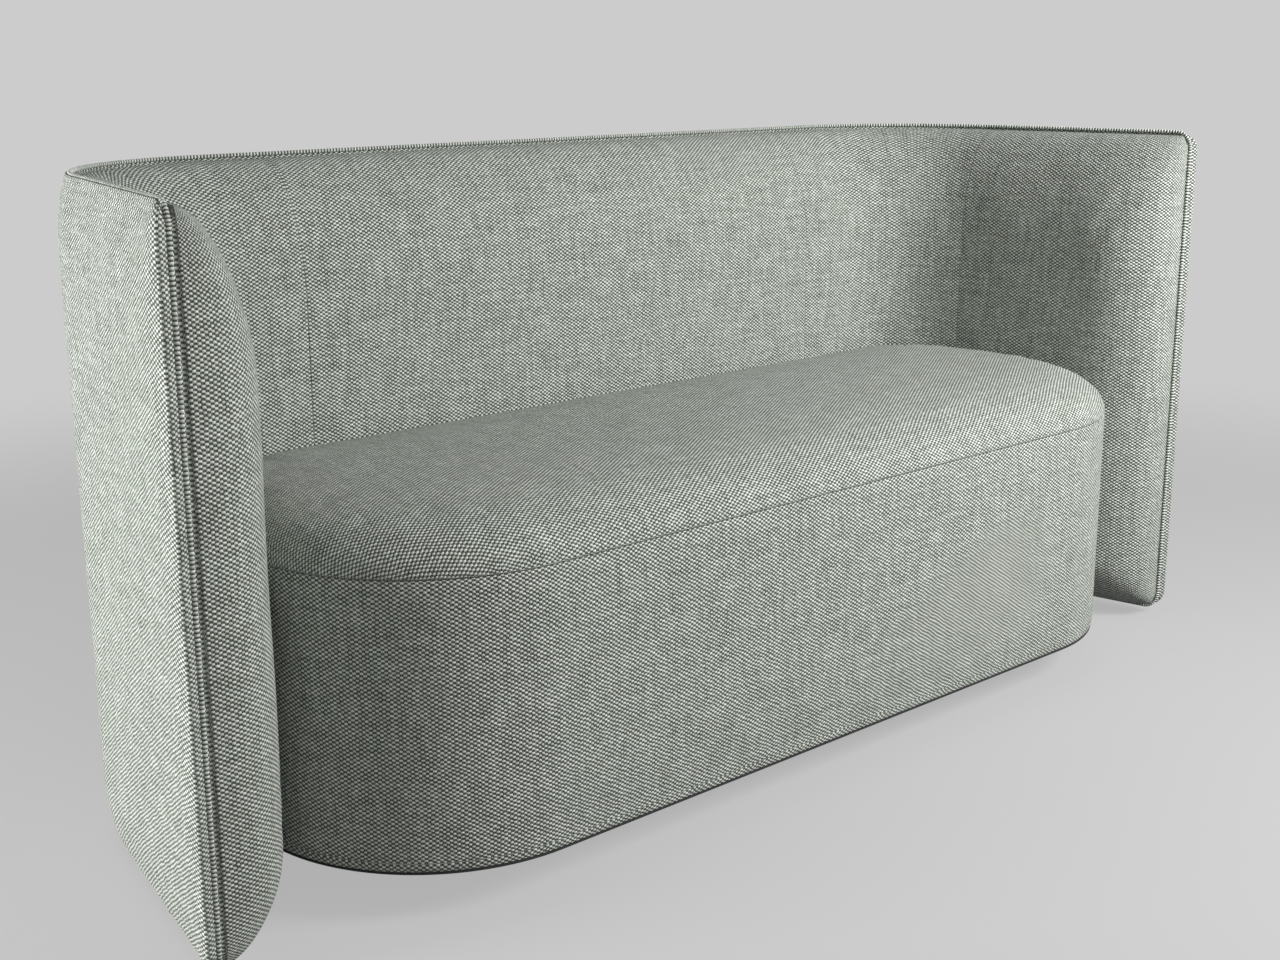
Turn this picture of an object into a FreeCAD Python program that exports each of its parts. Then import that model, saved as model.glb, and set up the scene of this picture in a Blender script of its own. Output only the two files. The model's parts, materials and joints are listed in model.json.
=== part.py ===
"""A lounge sofa: an upholstered seat block on a recessed plinth, inside a padded wrap-around screen
that is its back and both arms. Millimetres, +Z up, front towards -Y, origin on the floor under the
middle of the sofa. Right-hand pieces are modelled and the left-hand ones are their mirror images."""
import FreeCAD, Part
import math
import os
import re

import Sketcher

# Driving dimensions: name, size and what it measures.
SIZES = [
    ("half_depth", 322, "half of the overall depth, front of the seat to back of the screen"),
    ("back_line", 304, "Y of the screen's seam line along the back"),
    ("corner_x", 550, "X where the straight back ends and the corner bend starts"),
    ("corner_radius", 258, "bend radius of the seam line at the corners"),
    ("arm_splay", 10.4, "degrees by which each arm opens outwards to the front"),
    ("arm_length", 346, "straight length of an arm from the corner bend to its front seam"),
    ("shell_bottom", 10, "height of the screen's lower seam"),
    ("shell_top", 800, "height of the screen's upper seam"),
    ("inner_depth", 106, "seam line to the inner face of the padding"),
    ("inner_round", 180, "height over which the inner face curls in to the seam"),
    ("inner_nose", 60, "tight radius of that curl beside the seam"),
    ("arm_nose", 75, "radius of the padding round the front end of an arm"),
    ("outer_bulge", 18, "seam line to the outer face"),
    ("outer_round", 85, "height over which the outer face curls in to the seam"),
    ("panel_corner", 30, "radius of the screen's front corners seen from the side"),
    ("inner_seam_x", 465, "X of the sewn seam between back and corner panels"),
    ("cover", 2, "thickness of the fabric with its backing"),
    ("welt_radius", 3, "radius of the cord sewn into the perimeter seam"),
    ("outer_start", 2.2, "seam line to the edge of the outer cover beside the cord"),
    ("lip_trim", 0.2, "how far that edge is trimmed back on the arms"),
    ("core_overlap", 1, "how far the inside of a cover is cleared past the seam line"),
    ("board", 16, "thickness of the screen's plywood core"),
    ("board_set", 4, "seam line to the core's outer face"),
    ("board_edge", 12, "seam to the core's top and bottom edges"),
    ("board_end", 30, "front seam to the core's front edge"),
    ("plate_length", 60, "steel plate across a joint of two core boards"),
    ("plate_width", 12, "width of that plate"),
    ("plate", 2, "thickness of that plate"),
    ("seat_gap", 2, "room between the seat block and the screen"),
    ("seat_corner", 242, "plan radius of the seat block's front corners"),
    ("block_bottom", 56, "height of the seat block's lower edge"),
    ("seat_seam", 391, "height of the seam between seat top and side band"),
    ("seat_round", 60, "how far the seat's edge rolls in from the side"),
    ("seat_roll", 57, "height of that roll above the seam"),
    ("seat_crown", 8, "rise of the seat's top inside the roll"),
    ("crown_run", 70, "distance over which the top rises"),
    ("foam_play", 0.3, "room between the seat foam and its cover"),
    ("padding", 8, "thickness of the padding on the seat block's sides"),
    ("wall", 9, "thickness of the seat box walls"),
    ("base_board", 18, "thickness of the seat box floor"),
    ("deck_board", 18, "thickness of the seat deck"),
    ("deck_top", 331, "height of the deck that carries the seat foam"),
    ("rib", 15, "thickness of the ribs inside the seat box"),
    ("rib_x", 360, "X of the outer ribs"),
    ("cloth", 1.5, "thickness of the underside cloth"),
    ("cloth_inset", 14, "edge of the underside cloth inside the block's edge"),
    ("plinth_inset", 130, "plinth faces inside the block's front and rear edges"),
    ("plinth_half", 545, "half length of the plinth"),
    ("rail", 20, "thickness of the plinth rails"),
    ("plinth_bottom", 10, "height of the plinth's lower edge"),
    ("foot_radius", 12, "radius of a levelling foot"),
    ("foot_bevel", 1.5, "bevel round a foot's lower edge"),
    ("foot_play", 0.3, "room between a foot and what it screws up against"),
    ("stem_radius", 4, "radius of a foot's threaded stem"),
    ("thread_play", 0.05, "radial play of a stem in its nut"),
    ("stem_reach", 14, "length of stem past the top of its nut"),
    ("collar_radius", 6.5, "radius of the collar on a screen foot"),
    ("collar_play", 0.5, "room round that collar in the cover"),
    ("nut_flange_radius", 7.5, "radius of a foot nut's flange"),
    ("nut_flange", 1.5, "thickness of a nut's flange"),
    ("nut_radius", 5, "radius of a nut's barrel"),
    ("nut_length", 10, "length of a nut's barrel"),
    ("foot_inset", 60, "plinth foot to the end of its rail"),
    ("arm_foot_set", 190, "arm foot to the front seam"),
    ("back_foot_x", 420, "X of the feet under the back"),
    ("link_x", 240, "X of the bolts that tie the seat box to the screen"),
    ("link_low", 120, "height of the lower tie bolts"),
    ("link_high", 270, "height of the upper tie bolts"),
    ("link_head_radius", 6.5, "radius of a tie bolt's head"),
    ("link_head", 5.5, "height of a tie bolt's head"),
    ("spacer_radius", 10, "radius of the spacer tube round a tie bolt"),
    ("spacer_play", 0.3, "room round a spacer tube"),
    ("link_flange_radius", 11, "radius of a tie bolt nut's flange"),
    ("screw_radius", 2.5, "radius of a wood screw's shank"),
    ("screw_head_radius", 5, "radius of its head"),
    ("screw_head", 3, "height of its head"),
    ("screw_length", 40, "length of its shank"),
    ("deck_screw_y", 110, "deck screws, either side of the middle"),
    ("plinth_screw_x", 400, "plinth screws, either side of the middle"),
]
NAMES = {name for name, size, note in SIZES}

doc = FreeCAD.newDocument("LoungeSofa")
sheet = doc.addObject("Spreadsheet::Sheet", "Sizes")
for row, (name, size, note) in enumerate(SIZES, start=1):
    sheet.set(f"A{row}", note)
    sheet.set(f"B{row}", str(size))
    sheet.setAlias(f"B{row}", name)
doc.recompute()

SUB_PARTS = []


def linked(text):
    """Turns size names in a formula into references to the sheet."""
    return re.sub(r"[a-z_]+", lambda m: "Sizes." + m.group() if m.group() in NAMES else m.group(), str(text))


def value(text):
    """The number that a formula gives now."""
    return float(sheet.evalExpression(linked(text)))


def bind(thing, prop, text):
    thing.setExpression(prop, linked(text))


def place(thing, at=("0", "0", "0"), turn=None, axis=(0, 0, 1)):
    """Binds a thing's position, and its turn in degrees about an axis."""
    thing.Placement = FreeCAD.Placement(FreeCAD.Vector(), FreeCAD.Rotation(FreeCAD.Vector(*axis), 1.0))
    for letter, text in zip("xyz", at):
        bind(thing, f"Placement.Base.{letter}", text)
    bind(thing, "Placement.Rotation.Angle", turn or "0")
    return thing


def keep(thing, label):
    """Marks a finished sub-part and names its node."""
    thing.Label = label
    SUB_PARTS.append(thing)
    return thing


def body(name, at=("0", "0", "0"), turn=None, axis=(0, 0, 1)):
    return place(doc.addObject("PartDesign::Body", name), at, turn, axis)


def sketch(owner, role, height="0"):
    """An empty sketch on one of the body's own planes, lifted along that plane's normal."""
    plane = next(p for p in owner.Origin.OriginFeatures if p.Role == role)
    made = owner.newObject("Sketcher::SketchObject", "Outline")
    made.AttachmentSupport = (plane, [""])
    made.MapMode = "FlatFace"
    bind(made, "AttachmentOffset.Base.z", height)
    return made


def arc_between(start, end, radius, turn):
    """The short arc of that radius from start to end, anticlockwise for turn 1."""
    first, last = (start, end) if turn > 0 else (end, start)
    chord = last - first
    rise = math.sqrt(radius ** 2 - (chord.Length / 2) ** 2)
    across = FreeCAD.Vector(-chord.y, chord.x, 0).normalize()
    centre = (first + last) * 0.5 + across * rise
    angles = [math.atan2(p.y - centre.y, p.x - centre.x) for p in (first, last)]
    circle = Part.Circle(centre, FreeCAD.Vector(0, 0, 1), radius)
    return Part.ArcOfCircle(circle, angles[0], angles[1])


def outline(drawing, corners):
    """Draws a closed outline. A corner is (x, y), or (x, y, radius, turn) where an arc leaves it."""
    points = [FreeCAD.Vector(value(c[0]), value(c[1]), 0) for c in corners]
    first = drawing.GeometryCount
    ends = []
    for number, corner in enumerate(corners):
        start, end = points[number], points[(number + 1) % len(points)]
        if len(corner) == 2:
            drawing.addGeometry(Part.LineSegment(start, end))
            ends.append((1, 2))
        else:
            drawing.addGeometry(arc_between(start, end, value(corner[2]), corner[3]))
            ends.append((1, 2) if corner[3] > 0 else (2, 1))
    for number, corner in enumerate(corners):
        edge, after = first + number, first + (number + 1) % len(corners)
        drawing.addConstraint(Sketcher.Constraint(
            "Coincident", edge, ends[number][1], after, ends[after - first][0]))
        for kind, text in (("DistanceX", corner[0]), ("DistanceY", corner[1])):
            made = drawing.addConstraint(Sketcher.Constraint(
                kind, -1, 1, edge, ends[number][0], value(text)))
            bind(drawing, f"Constraints[{made}]", text)
        if len(corner) > 2:
            made = drawing.addConstraint(Sketcher.Constraint("Radius", edge, value(corner[2])))
            bind(drawing, f"Constraints[{made}]", corner[2])
    return drawing


def pad(owner, drawing, length, down=False):
    made = owner.newObject("PartDesign::Pad", "Pad")
    made.Profile = drawing
    bind(made, "Length", length)
    made.Reversed = down
    return owner


def slab(name, corners, low, high):
    """A flat piece with the given plan outline between two heights."""
    owner = body(name)
    return pad(owner, outline(sketch(owner, "XY_Plane", low), corners), f"({high}) - ({low})")


def turned(name, corners, at, turn=None, axis=(0, 0, 1)):
    """A round piece: an outline of radius and height, turned about its own upright axis."""
    owner = body(name, at, turn, axis)
    made = owner.newObject("PartDesign::Revolution", "Turn")
    profile = outline(sketch(owner, "XZ_Plane"), corners)
    made.Profile = profile
    made.ReferenceAxis = (profile, ["V_Axis"])
    made.Angle = 360
    return owner


def box(name, at, size, turn=None):
    made = place(doc.addObject("Part::Box", name), at, turn)
    for prop, text in zip(("Length", "Width", "Height"), size):
        bind(made, prop, text)
    return made


def rod(name, at, radius, length, turn=None, axis=(1, 0, 0)):
    """A plain cylinder standing on its foot point, tipped about X where turn is given."""
    made = place(doc.addObject("Part::Cylinder", name), at, turn, axis)
    bind(made, "Radius", radius)
    bind(made, "Height", length)
    return made


def cut(name, base, *tools):
    """The base with every tool taken away."""
    made = doc.addObject("Part::Cut", name)
    made.Base = base
    made.Tool = tools[0] if len(tools) == 1 else group(name + "_tools", tools)
    return made


def joined(name, shapes):
    made = doc.addObject("Part::MultiFuse", name)
    made.Shapes = shapes
    made.Refine = True
    return made


def shared(name, shapes):
    made = doc.addObject("Part::MultiCommon", name)
    made.Shapes = shapes
    return made


def group(name, links):
    made = doc.addObject("Part::Compound", name)
    made.Links = list(links)
    return made


def mirrored(source, name):
    """The left-hand copy of a right-hand piece."""
    made = doc.addObject("Part::Mirroring", name)
    made.Source = source
    made.Normal = FreeCAD.Vector(1, 0, 0)
    return made


def keep_pair(right, label):
    """Keeps a right-hand piece and its mirror image as label_right and label_left."""
    keep(right, label + "_right")
    keep(mirrored(right, label + "_mirror"), label + "_left")


# Places that several pieces share.
CORNER_Y = "(back_line - corner_radius)"
ARM_TURN = "arm_splay - 90"
CORE_ACROSS = "(board_set + board/2)"


def arm_point(along, across):
    """Plan point of the right arm, along it from the bend and outwards from its seam line."""
    x = f"corner_x + (corner_radius + ({across}))*cos(arm_splay) + ({along})*sin(arm_splay)"
    y = f"{CORNER_Y} + (corner_radius + ({across}))*sin(arm_splay) - ({along})*cos(arm_splay)"
    return x, y


# The screen's padding: sections across it, and what they are carried along.
def inner_section(skin, start):
    """Section of the inner padding, (outwards, up): two tangent arcs curl the face in to the seam at
    the top and bottom. skin is how far inside the fabric's face it lies, start its flat outer side."""
    nose = "inner_nose"
    reach = "(inner_round - inner_nose)"
    broad = f"((inner_depth^2 + {reach}^2 - {nose}^2)/(2*(inner_depth - {nose})))"
    lean_out = f"((inner_depth - {broad})/({broad} - {nose}))"
    lean_up = f"({reach}/({broad} - {nose}))"
    tight = f"({nose} - ({skin}))"
    wide = f"({broad} - ({skin}))"
    face = f"-(inner_depth - ({skin}))"
    join = f"{tight}*{lean_out}"
    drop = f"({nose} - {tight}*{lean_up})"
    tip = f"({nose} - sqrt({tight}^2 - ({start})^2))"
    return [
        (start, f"shell_top - {tip}", tight, 1),
        (join, f"shell_top - {drop}", wide, 1),
        (face, "shell_top - inner_round"),
        (face, "shell_bottom + inner_round", wide, 1),
        (join, f"shell_bottom + {drop}", tight, 1),
        (start, f"shell_bottom + {tip}"),
    ]


OUTER_ARC = "((outer_bulge^2 + outer_round^2)/(2*outer_bulge))"


def outer_tip(skin, start):
    """How far the outer face has fallen back from the seam at a distance outwards of it."""
    return f"(outer_round - sqrt(({OUTER_ARC} - ({skin}))^2 - ({start} - outer_bulge + {OUTER_ARC})^2))"


def outer_section(skin, start, edge):
    """Section of the outer padding: a flat face curled in to the seam, cut flat at the edge."""
    arc = f"({OUTER_ARC} - ({skin}))"
    face = f"outer_bulge - ({skin})"
    at_edge = f"(outer_bulge - {OUTER_ARC} + sqrt({arc}^2 - (outer_round - ({edge}))^2))"
    return [
        (start, f"shell_bottom + {edge}"),
        (at_edge, f"shell_bottom + {edge}", arc, 1),
        (face, "shell_bottom + outer_round"),
        (face, "shell_top - outer_round", arc, 1),
        (at_edge, f"shell_top - {edge}"),
        (start, f"shell_top - {edge}"),
    ]


def outer_lip(skin, start):
    """The same section with its curl carried on to the cord at the seam."""
    arc = f"({OUTER_ARC} - ({skin}))"
    face = f"outer_bulge - ({skin})"
    tip = outer_tip(skin, start)
    return [
        (start, f"shell_bottom + {tip}", arc, 1),
        (face, "shell_bottom + outer_round"),
        (face, "shell_top - outer_round", arc, 1),
        (start, f"shell_top - {tip}"),
    ]


def inner_plan(skin, start):
    """Plan of an arm's inner padding, (along the arm, outwards), rounded at the front end."""
    face = f"-(inner_depth - ({skin}))"
    end = f"arm_length - ({skin})"
    return [
        ("0", face),
        ("arm_length - arm_nose", face, f"arm_nose - ({skin})", 1),
        (end, "-(inner_depth - arm_nose)"),
        (end, start),
        ("0", start),
    ]


def outer_plan(skin, start):
    """Plan of an arm's outer padding, curled in to the front seam."""
    arc = f"({OUTER_ARC} - ({skin}))"
    face = f"outer_bulge - ({skin})"
    return [
        ("0", start),
        (f"arm_length - {outer_tip(skin, start)}", start, arc, 1),
        ("arm_length - outer_round", face),
        ("0", face),
    ]


def arm_side(skin):
    """Side view of an arm, (along the arm, up), with its rounded front corners."""
    low, high = f"shell_bottom + ({skin})", f"shell_top - ({skin})"
    end = f"arm_length - ({skin})"
    bend = f"panel_corner - ({skin})"
    return [
        ("0", low),
        ("arm_length - panel_corner", low, bend, 1),
        (end, "shell_bottom + panel_corner"),
        (end, "shell_top - panel_corner", bend, 1),
        ("arm_length - panel_corner", high),
        ("0", high),
    ]


def back_form(name, section, half):
    """A section carried straight along the back, to either side of the middle."""
    owner = body(name, (f"-({half})", "back_line", "0"))
    return pad(owner, outline(sketch(owner, "YZ_Plane"), section), f"2*({half})")


def corner_form(name, section, start):
    """A section carried from start on the back, round the right corner bend."""
    owner = body(name, (start, "back_line", "0"))
    profile = outline(sketch(owner, "YZ_Plane"), section)
    straight = value(f"corner_x - ({start})")
    radius = value("corner_radius")
    route = sketch(owner, "XY_Plane")
    centre = FreeCAD.Vector(straight, -radius, 0)
    bend = Part.Circle(centre, FreeCAD.Vector(0, 0, 1), radius)
    route.addGeometry(Part.ArcOfCircle(bend, math.radians(value("arm_splay")), math.pi / 2))
    rules = [
        ("Radius", (0,), "corner_radius"),
        ("DistanceX", (-1, 1, 0, 3), f"corner_x - ({start})"),
        ("DistanceY", (-1, 1, 0, 3), "-corner_radius"),
        ("DistanceX", (-1, 1, 0, 2), f"corner_x - ({start})"),
        ("DistanceY", (0, 3, 0, 1), "corner_radius*sin(arm_splay)"),
    ]
    for kind, what, text in rules:
        made = route.addConstraint(Sketcher.Constraint(kind, *what, value(text)))
        bind(route, f"Constraints[{made}]", text)
    if straight > 0:
        route.addGeometry(Part.LineSegment(FreeCAD.Vector(), FreeCAD.Vector(straight, 0, 0)))
        route.addConstraint(Sketcher.Constraint("Coincident", 1, 1, -1, 1))
        route.addConstraint(Sketcher.Constraint("Coincident", 1, 2, 0, 2))
    pipe = owner.newObject("PartDesign::AdditivePipe", "Pipe")
    pipe.Profile = profile
    pipe.Spine = (route, [])
    return owner


def arm_form(name, section, plan, skin):
    """A section carried along the right arm, cut to a plan and to the arm's side view."""
    at = (*arm_point("0", "0"), "0")
    length = body(name + "_length", at, ARM_TURN)
    pad(length, outline(sketch(length, "YZ_Plane"), section), "arm_length")
    level = body(name + "_plan", at, ARM_TURN)
    pad(level, outline(sketch(level, "XY_Plane"), plan), "shell_top + shell_bottom")
    side = body(name + "_side", at, ARM_TURN)
    pad(side, outline(sketch(side, "XZ_Plane", "-(inner_depth + outer_bulge)"), arm_side(skin)),
        "2*(inner_depth + outer_bulge)")
    return shared(name, [length, level, side])


# Nuts and levelling feet.
def foot_nut(name, at):
    """A flanged nut for a foot's stem, its flange under the board that it is let into."""
    bore = "stem_radius + thread_play"
    return turned(name, [
        (bore, "-nut_flange"), ("nut_flange_radius", "-nut_flange"), ("nut_flange_radius", "0"),
        ("nut_radius", "0"), ("nut_radius", "nut_length"), (bore, "nut_length"),
    ], at)


def nut_holes(name, at):
    """What a foot nut and its stem take out of the board, up from the board's lower edge."""
    x, y, low = at
    return [rod(name + "_barrel", at, "nut_radius", "nut_length"),
            rod(name + "_stem", (x, y, f"{low} + nut_length"), "stem_radius + thread_play",
                "stem_reach + nut_flange")]


def plinth_foot(x, y):
    """A foot that screws up to the nut's flange under the plinth."""
    top = "plinth_bottom - nut_flange - foot_play"
    return turned("PlinthFoot", [
        ("0", "0"), ("foot_radius - foot_bevel", "0"), ("foot_radius", "foot_bevel"),
        ("foot_radius", top), ("stem_radius", top),
        ("stem_radius", "plinth_bottom + nut_length + stem_reach"),
        ("0", "plinth_bottom + nut_length + stem_reach"),
    ], (x, y, "0"))


CORE_LOW = "(shell_bottom + board_edge)"


def screen_foot(x, y):
    """A foot whose collar passes the cover and screws up to the nut under the screen's core."""
    top = "shell_bottom - nut_flange - foot_play"
    seat = f"{CORE_LOW} - nut_flange - foot_play"
    return turned("ScreenFoot", [
        ("0", "0"), ("foot_radius - foot_bevel", "0"), ("foot_radius", "foot_bevel"),
        ("foot_radius", top), ("collar_radius", top), ("collar_radius", seat), ("stem_radius", seat),
        ("stem_radius", f"{CORE_LOW} + nut_length + stem_reach"),
        ("0", f"{CORE_LOW} + nut_length + stem_reach"),
    ], (x, y, "0"))


def negative(text):
    return f"-({text})"


ARM_FOOT = arm_point("arm_length - arm_foot_set", f"-{CORE_ACROSS}")
BACK_FOOT = ("back_foot_x", f"back_line - {CORE_ACROSS}")
FRONT_RAIL_Y = "(plinth_inset - half_depth)"
REAR_RADIUS = "(corner_radius - inner_depth - seat_gap)"
REAR_RAIL_Y = f"({CORNER_Y} + {REAR_RADIUS} - plinth_inset - rail)"
PLINTH_FOOT_X = "plinth_half - foot_inset"

screen_feet = {"arm_right": ARM_FOOT, "arm_left": (negative(ARM_FOOT[0]), ARM_FOOT[1]),
               "back_right": BACK_FOOT, "back_left": (negative(BACK_FOOT[0]), BACK_FOOT[1])}
plinth_feet = {f"{row}_{side}": (sign, f"{y} + rail/2")
               for row, y in (("front", FRONT_RAIL_Y), ("rear", REAR_RAIL_Y))
               for side, sign in (("right", PLINTH_FOOT_X), ("left", negative(PLINTH_FOOT_X)))}

nuts = []
holes = {}
for spot, (x, y) in screen_feet.items():
    keep(screen_foot(x, y), "screen_foot_" + spot)
    nuts.append(foot_nut("ScreenNut", (x, y, CORE_LOW)))
    holes[spot] = nut_holes("ScreenNutHole", (x, y, CORE_LOW))
for spot, (x, y) in plinth_feet.items():
    keep(plinth_foot(x, y), "plinth_foot_" + spot)
    nuts.append(foot_nut("PlinthNut", (x, y, "plinth_bottom")))
    holes[spot] = nut_holes("PlinthNutHole", (x, y, "plinth_bottom"))
keep(group("FootNuts", nuts), "foot_nuts")

# Tie bolts between the seat box and the screen, with their spacers and nuts.
REAR_FACE = f"({CORNER_Y} + {REAR_RADIUS} - cover - padding)"
CORE_INNER = "(back_line - board_set - board)"
CORE_OUTER = "(back_line - board_set)"
LYING = "-90"
link_places = [(x, z) for x in ("link_x", "-link_x") for z in ("link_low", "link_high")]
bolts, spacers, link_nuts, link_holes, spacer_holes = [], [], [], [], []
for x, z in link_places:
    inside = f"{REAR_FACE} - wall"
    bolts.append(turned("TieBolt", [
        ("0", "-link_head"), ("link_head_radius", "-link_head"), ("link_head_radius", "0"),
        ("stem_radius", "0"), ("stem_radius", f"{CORE_OUTER} - ({inside})"),
        ("0", f"{CORE_OUTER} - ({inside})"),
    ], (x, inside, z), LYING, (1, 0, 0)))
    long_tube = f"{CORE_INNER} - {REAR_FACE}"
    bore = "stem_radius + thread_play"
    spacers.append(turned("Spacer", [
        (bore, "0"), ("spacer_radius", "0"), ("spacer_radius", long_tube), (bore, long_tube),
    ], (x, REAR_FACE, z), LYING, (1, 0, 0)))
    link_nuts.append(turned("TieNut", [
        (bore, "-nut_length"), ("nut_radius", "-nut_length"), ("nut_radius", "-nut_flange"),
        ("link_flange_radius", "-nut_flange"), ("link_flange_radius", "0"), (bore, "0"),
    ], (x, CORE_OUTER, z), LYING, (1, 0, 0)))
    link_holes.append(rod("TieHole", (x, f"{inside} - link_head", z), bore,
                          f"{CORE_OUTER} - ({inside}) + 2*link_head", LYING))
    link_holes.append(rod("TieNutHole", (x, f"{CORE_OUTER} - nut_length", z), "nut_radius",
                          "nut_length", LYING))
    link_holes.append(rod("TieFlangeHole", (x, f"{CORE_OUTER} - nut_flange", z),
                          "link_flange_radius", "2*nut_flange", LYING))
    spacer_holes.append(rod("SpacerHole", (x, REAR_FACE, z), "spacer_radius + spacer_play",
                            long_tube, LYING))
keep(group("TieBolts", bolts), "tie_bolts")
keep(group("Spacers", spacers), "tie_bolt_spacers")
keep(group("TieNuts", link_nuts), "tie_bolt_nuts")

# The screen's plywood core: a flat back, two bent corners and two flat arms.
CORE_HEIGHT = f"(shell_top - board_edge - {CORE_LOW})"
back_core = box("BackCore", ("-corner_x", CORE_INNER, CORE_LOW), ("2*corner_x", "board", CORE_HEIGHT))
keep(cut("BackCoreCut", back_core, *link_holes, *holes["back_right"], *holes["back_left"]), "back_board")
core_section = [
    ("-(board_set + board)", CORE_LOW), ("-board_set", CORE_LOW),
    ("-board_set", "shell_top - board_edge"), ("-(board_set + board)", "shell_top - board_edge"),
]
keep_pair(corner_form("CornerCore", core_section, "corner_x"), "corner_board")
arm_core = box("ArmCore", (*arm_point("0", "-(board_set + board)"), CORE_LOW),
               ("arm_length - board_end", "board", CORE_HEIGHT), ARM_TURN)
keep_pair(cut("ArmCoreCut", arm_core, *holes["arm_right"]), "arm_board")

plates = []
across = f"-({CORE_ACROSS} + plate_width/2)"
for level in ("shell_top - board_edge", f"{CORE_LOW} - plate"):
    size = ("plate_length", "plate_width", "plate")
    on_back = ("corner_x - plate_length/2", f"back_line + ({across})", level)
    on_arm = (*arm_point("-plate_length/2", across), level)
    for right in (box("BackPlate", on_back, size), box("ArmPlate", on_arm, size, ARM_TURN)):
        plates += [right, mirrored(right, "PlateMirror")]
keep(group("Plates", plates), "board_plates")

# Inner foam and the inner cover, each in a back panel, two corner panels and two arm panels.
COVER_START = "-welt_radius"
INSIDE_START = "core_overlap - welt_radius"
FOAM_START = "-(board_set + board)"
cover_section = inner_section("0", COVER_START)
inside_section = inner_section("cover", INSIDE_START)
foam_section = inner_section("cover", FOAM_START)

back_foam = back_form("BackFoam", foam_section, "inner_seam_x")
keep(cut("BackFoamCut", back_foam, *spacer_holes), "back_foam")
collar = "collar_radius + collar_play"
collar_holes = {spot: rod("CollarHole", (x, y, "0"), collar, CORE_LOW)
                for spot, (x, y) in screen_feet.items()}
keep(cut("BackCover", back_form("BackSkin", cover_section, "inner_seam_x"),
         back_form("BackInside", inside_section, "inner_seam_x"), *spacer_holes,
         collar_holes["back_right"], collar_holes["back_left"]), "back_inner_cover")

keep_pair(corner_form("CornerFoam", foam_section, "inner_seam_x"), "corner_foam")
keep_pair(cut("CornerCover", corner_form("CornerSkin", cover_section, "inner_seam_x"),
              corner_form("CornerInside", inside_section, "inner_seam_x")), "corner_inner_cover")

keep_pair(arm_form("ArmFoam", foam_section, inner_plan("cover", FOAM_START), "cover"), "arm_foam")
keep_pair(cut("ArmCover", arm_form("ArmSkin", cover_section, inner_plan("0", COVER_START), "0"),
              arm_form("ArmInside", inside_section, inner_plan("cover", INSIDE_START), "cover"),
              collar_holes["arm_right"]), "arm_inner_cover")


# Outer padding in the same panels, and the outer cover in one piece round the whole outside.
padding_section = outer_section("cover", "-board_set", "board_edge")
keep(back_form("BackPadding", padding_section, "corner_x"), "back_outer_padding")
keep_pair(corner_form("CornerPadding", padding_section, "corner_x"), "corner_outer_padding")
keep_pair(arm_form("ArmPadding", padding_section, outer_plan("cover", "-board_set"), "board_edge"),
          "arm_outer_padding")


def wrap(name, skin, start, trim):
    """The outer face's curl carried round the whole outside of the screen, as one piece."""
    section = outer_lip(skin, start)
    corner = corner_form(name + "_corner", section, "corner_x")
    arm = arm_form(name + "_arm", section, outer_plan(skin, start), trim)
    return joined(name, [back_form(name + "_back", section, "corner_x"), corner, arm,
                         mirrored(corner, name + "_left_corner"), mirrored(arm, name + "_left_arm")])


LIP = f"({outer_tip('0', 'outer_start')} + lip_trim)"
keep(cut("OuterCover", wrap("OuterSkin", "0", "outer_start", LIP),
         wrap("OuterInside", "cover", "outer_start - core_overlap", f"{LIP} + cover")), "outer_cover")


# The cord in the perimeter seam: along the top, down the arm fronts and back along the bottom.
def welt_half():
    """Right half of the cord, a round section along tangent lines and arcs."""
    r = value("welt_radius")
    bend = value("panel_corner") - r
    angle = math.radians(value("arm_splay"))
    ahead = FreeCAD.Vector(math.sin(angle), -math.cos(angle), 0)
    up = FreeCAD.Vector(0, 0, 1)
    pivot = FreeCAD.Vector(value("corner_x"), value(CORNER_Y), 0)
    radius = value("corner_radius")
    middle = FreeCAD.Vector(0, value("back_line"), 0)
    bend_start = FreeCAD.Vector(value("corner_x"), value("back_line"), 0)
    half_angle = (math.pi / 2 + angle) / 2
    bend_mid = pivot + FreeCAD.Vector(math.cos(half_angle), math.sin(half_angle), 0) * radius
    bend_end = pivot + FreeCAD.Vector(math.cos(angle), math.sin(angle), 0) * radius
    front = bend_end + ahead * (value("arm_length") - r)
    top = up * (value("shell_top") - r)
    low = up * (value("shell_bottom") + r)
    slack = bend * (1 - math.sqrt(0.5))
    edges = []
    for level, step in ((top, -up), (low, up)):
        edges.append([
            Part.LineSegment(middle + level, bend_start + level),
            Part.Arc(bend_start + level, bend_mid + level, bend_end + level),
            Part.LineSegment(bend_end + level, front - ahead * bend + level),
            Part.Arc(front - ahead * bend + level, front - ahead * slack + step * slack + level,
                     front + step * bend + level),
        ])
    upright = Part.LineSegment(front - up * bend + top, front + up * bend + low)
    route = edges[0] + [upright] + list(reversed(edges[1]))
    path = Part.Wire(Part.__sortEdges__([edge.toShape() for edge in route]))
    ring = Part.Wire(Part.Circle(middle + top, FreeCAD.Vector(1, 0, 0), r).toShape())
    return path.makePipeShell([ring], True, False)


welt = doc.addObject("Part::Feature", "WeltHalf")
welt.Shape = welt_half()
keep(group("Welt", [welt, mirrored(welt, "WeltMirror")]), "perimeter_welt")

# The seat block's plan: straight front, round front corners, sides along the arms, round rear corners.
FRONT_Y = "-half_depth"
FRONT_CENTRE_Y = "(seat_corner - half_depth)"
FRONT_CENTRE_X = (f"(corner_x + tan(arm_splay)*({CORNER_Y} - {FRONT_CENTRE_Y})"
                  f" + ({REAR_RADIUS} - seat_corner)/cos(arm_splay))")


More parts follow.
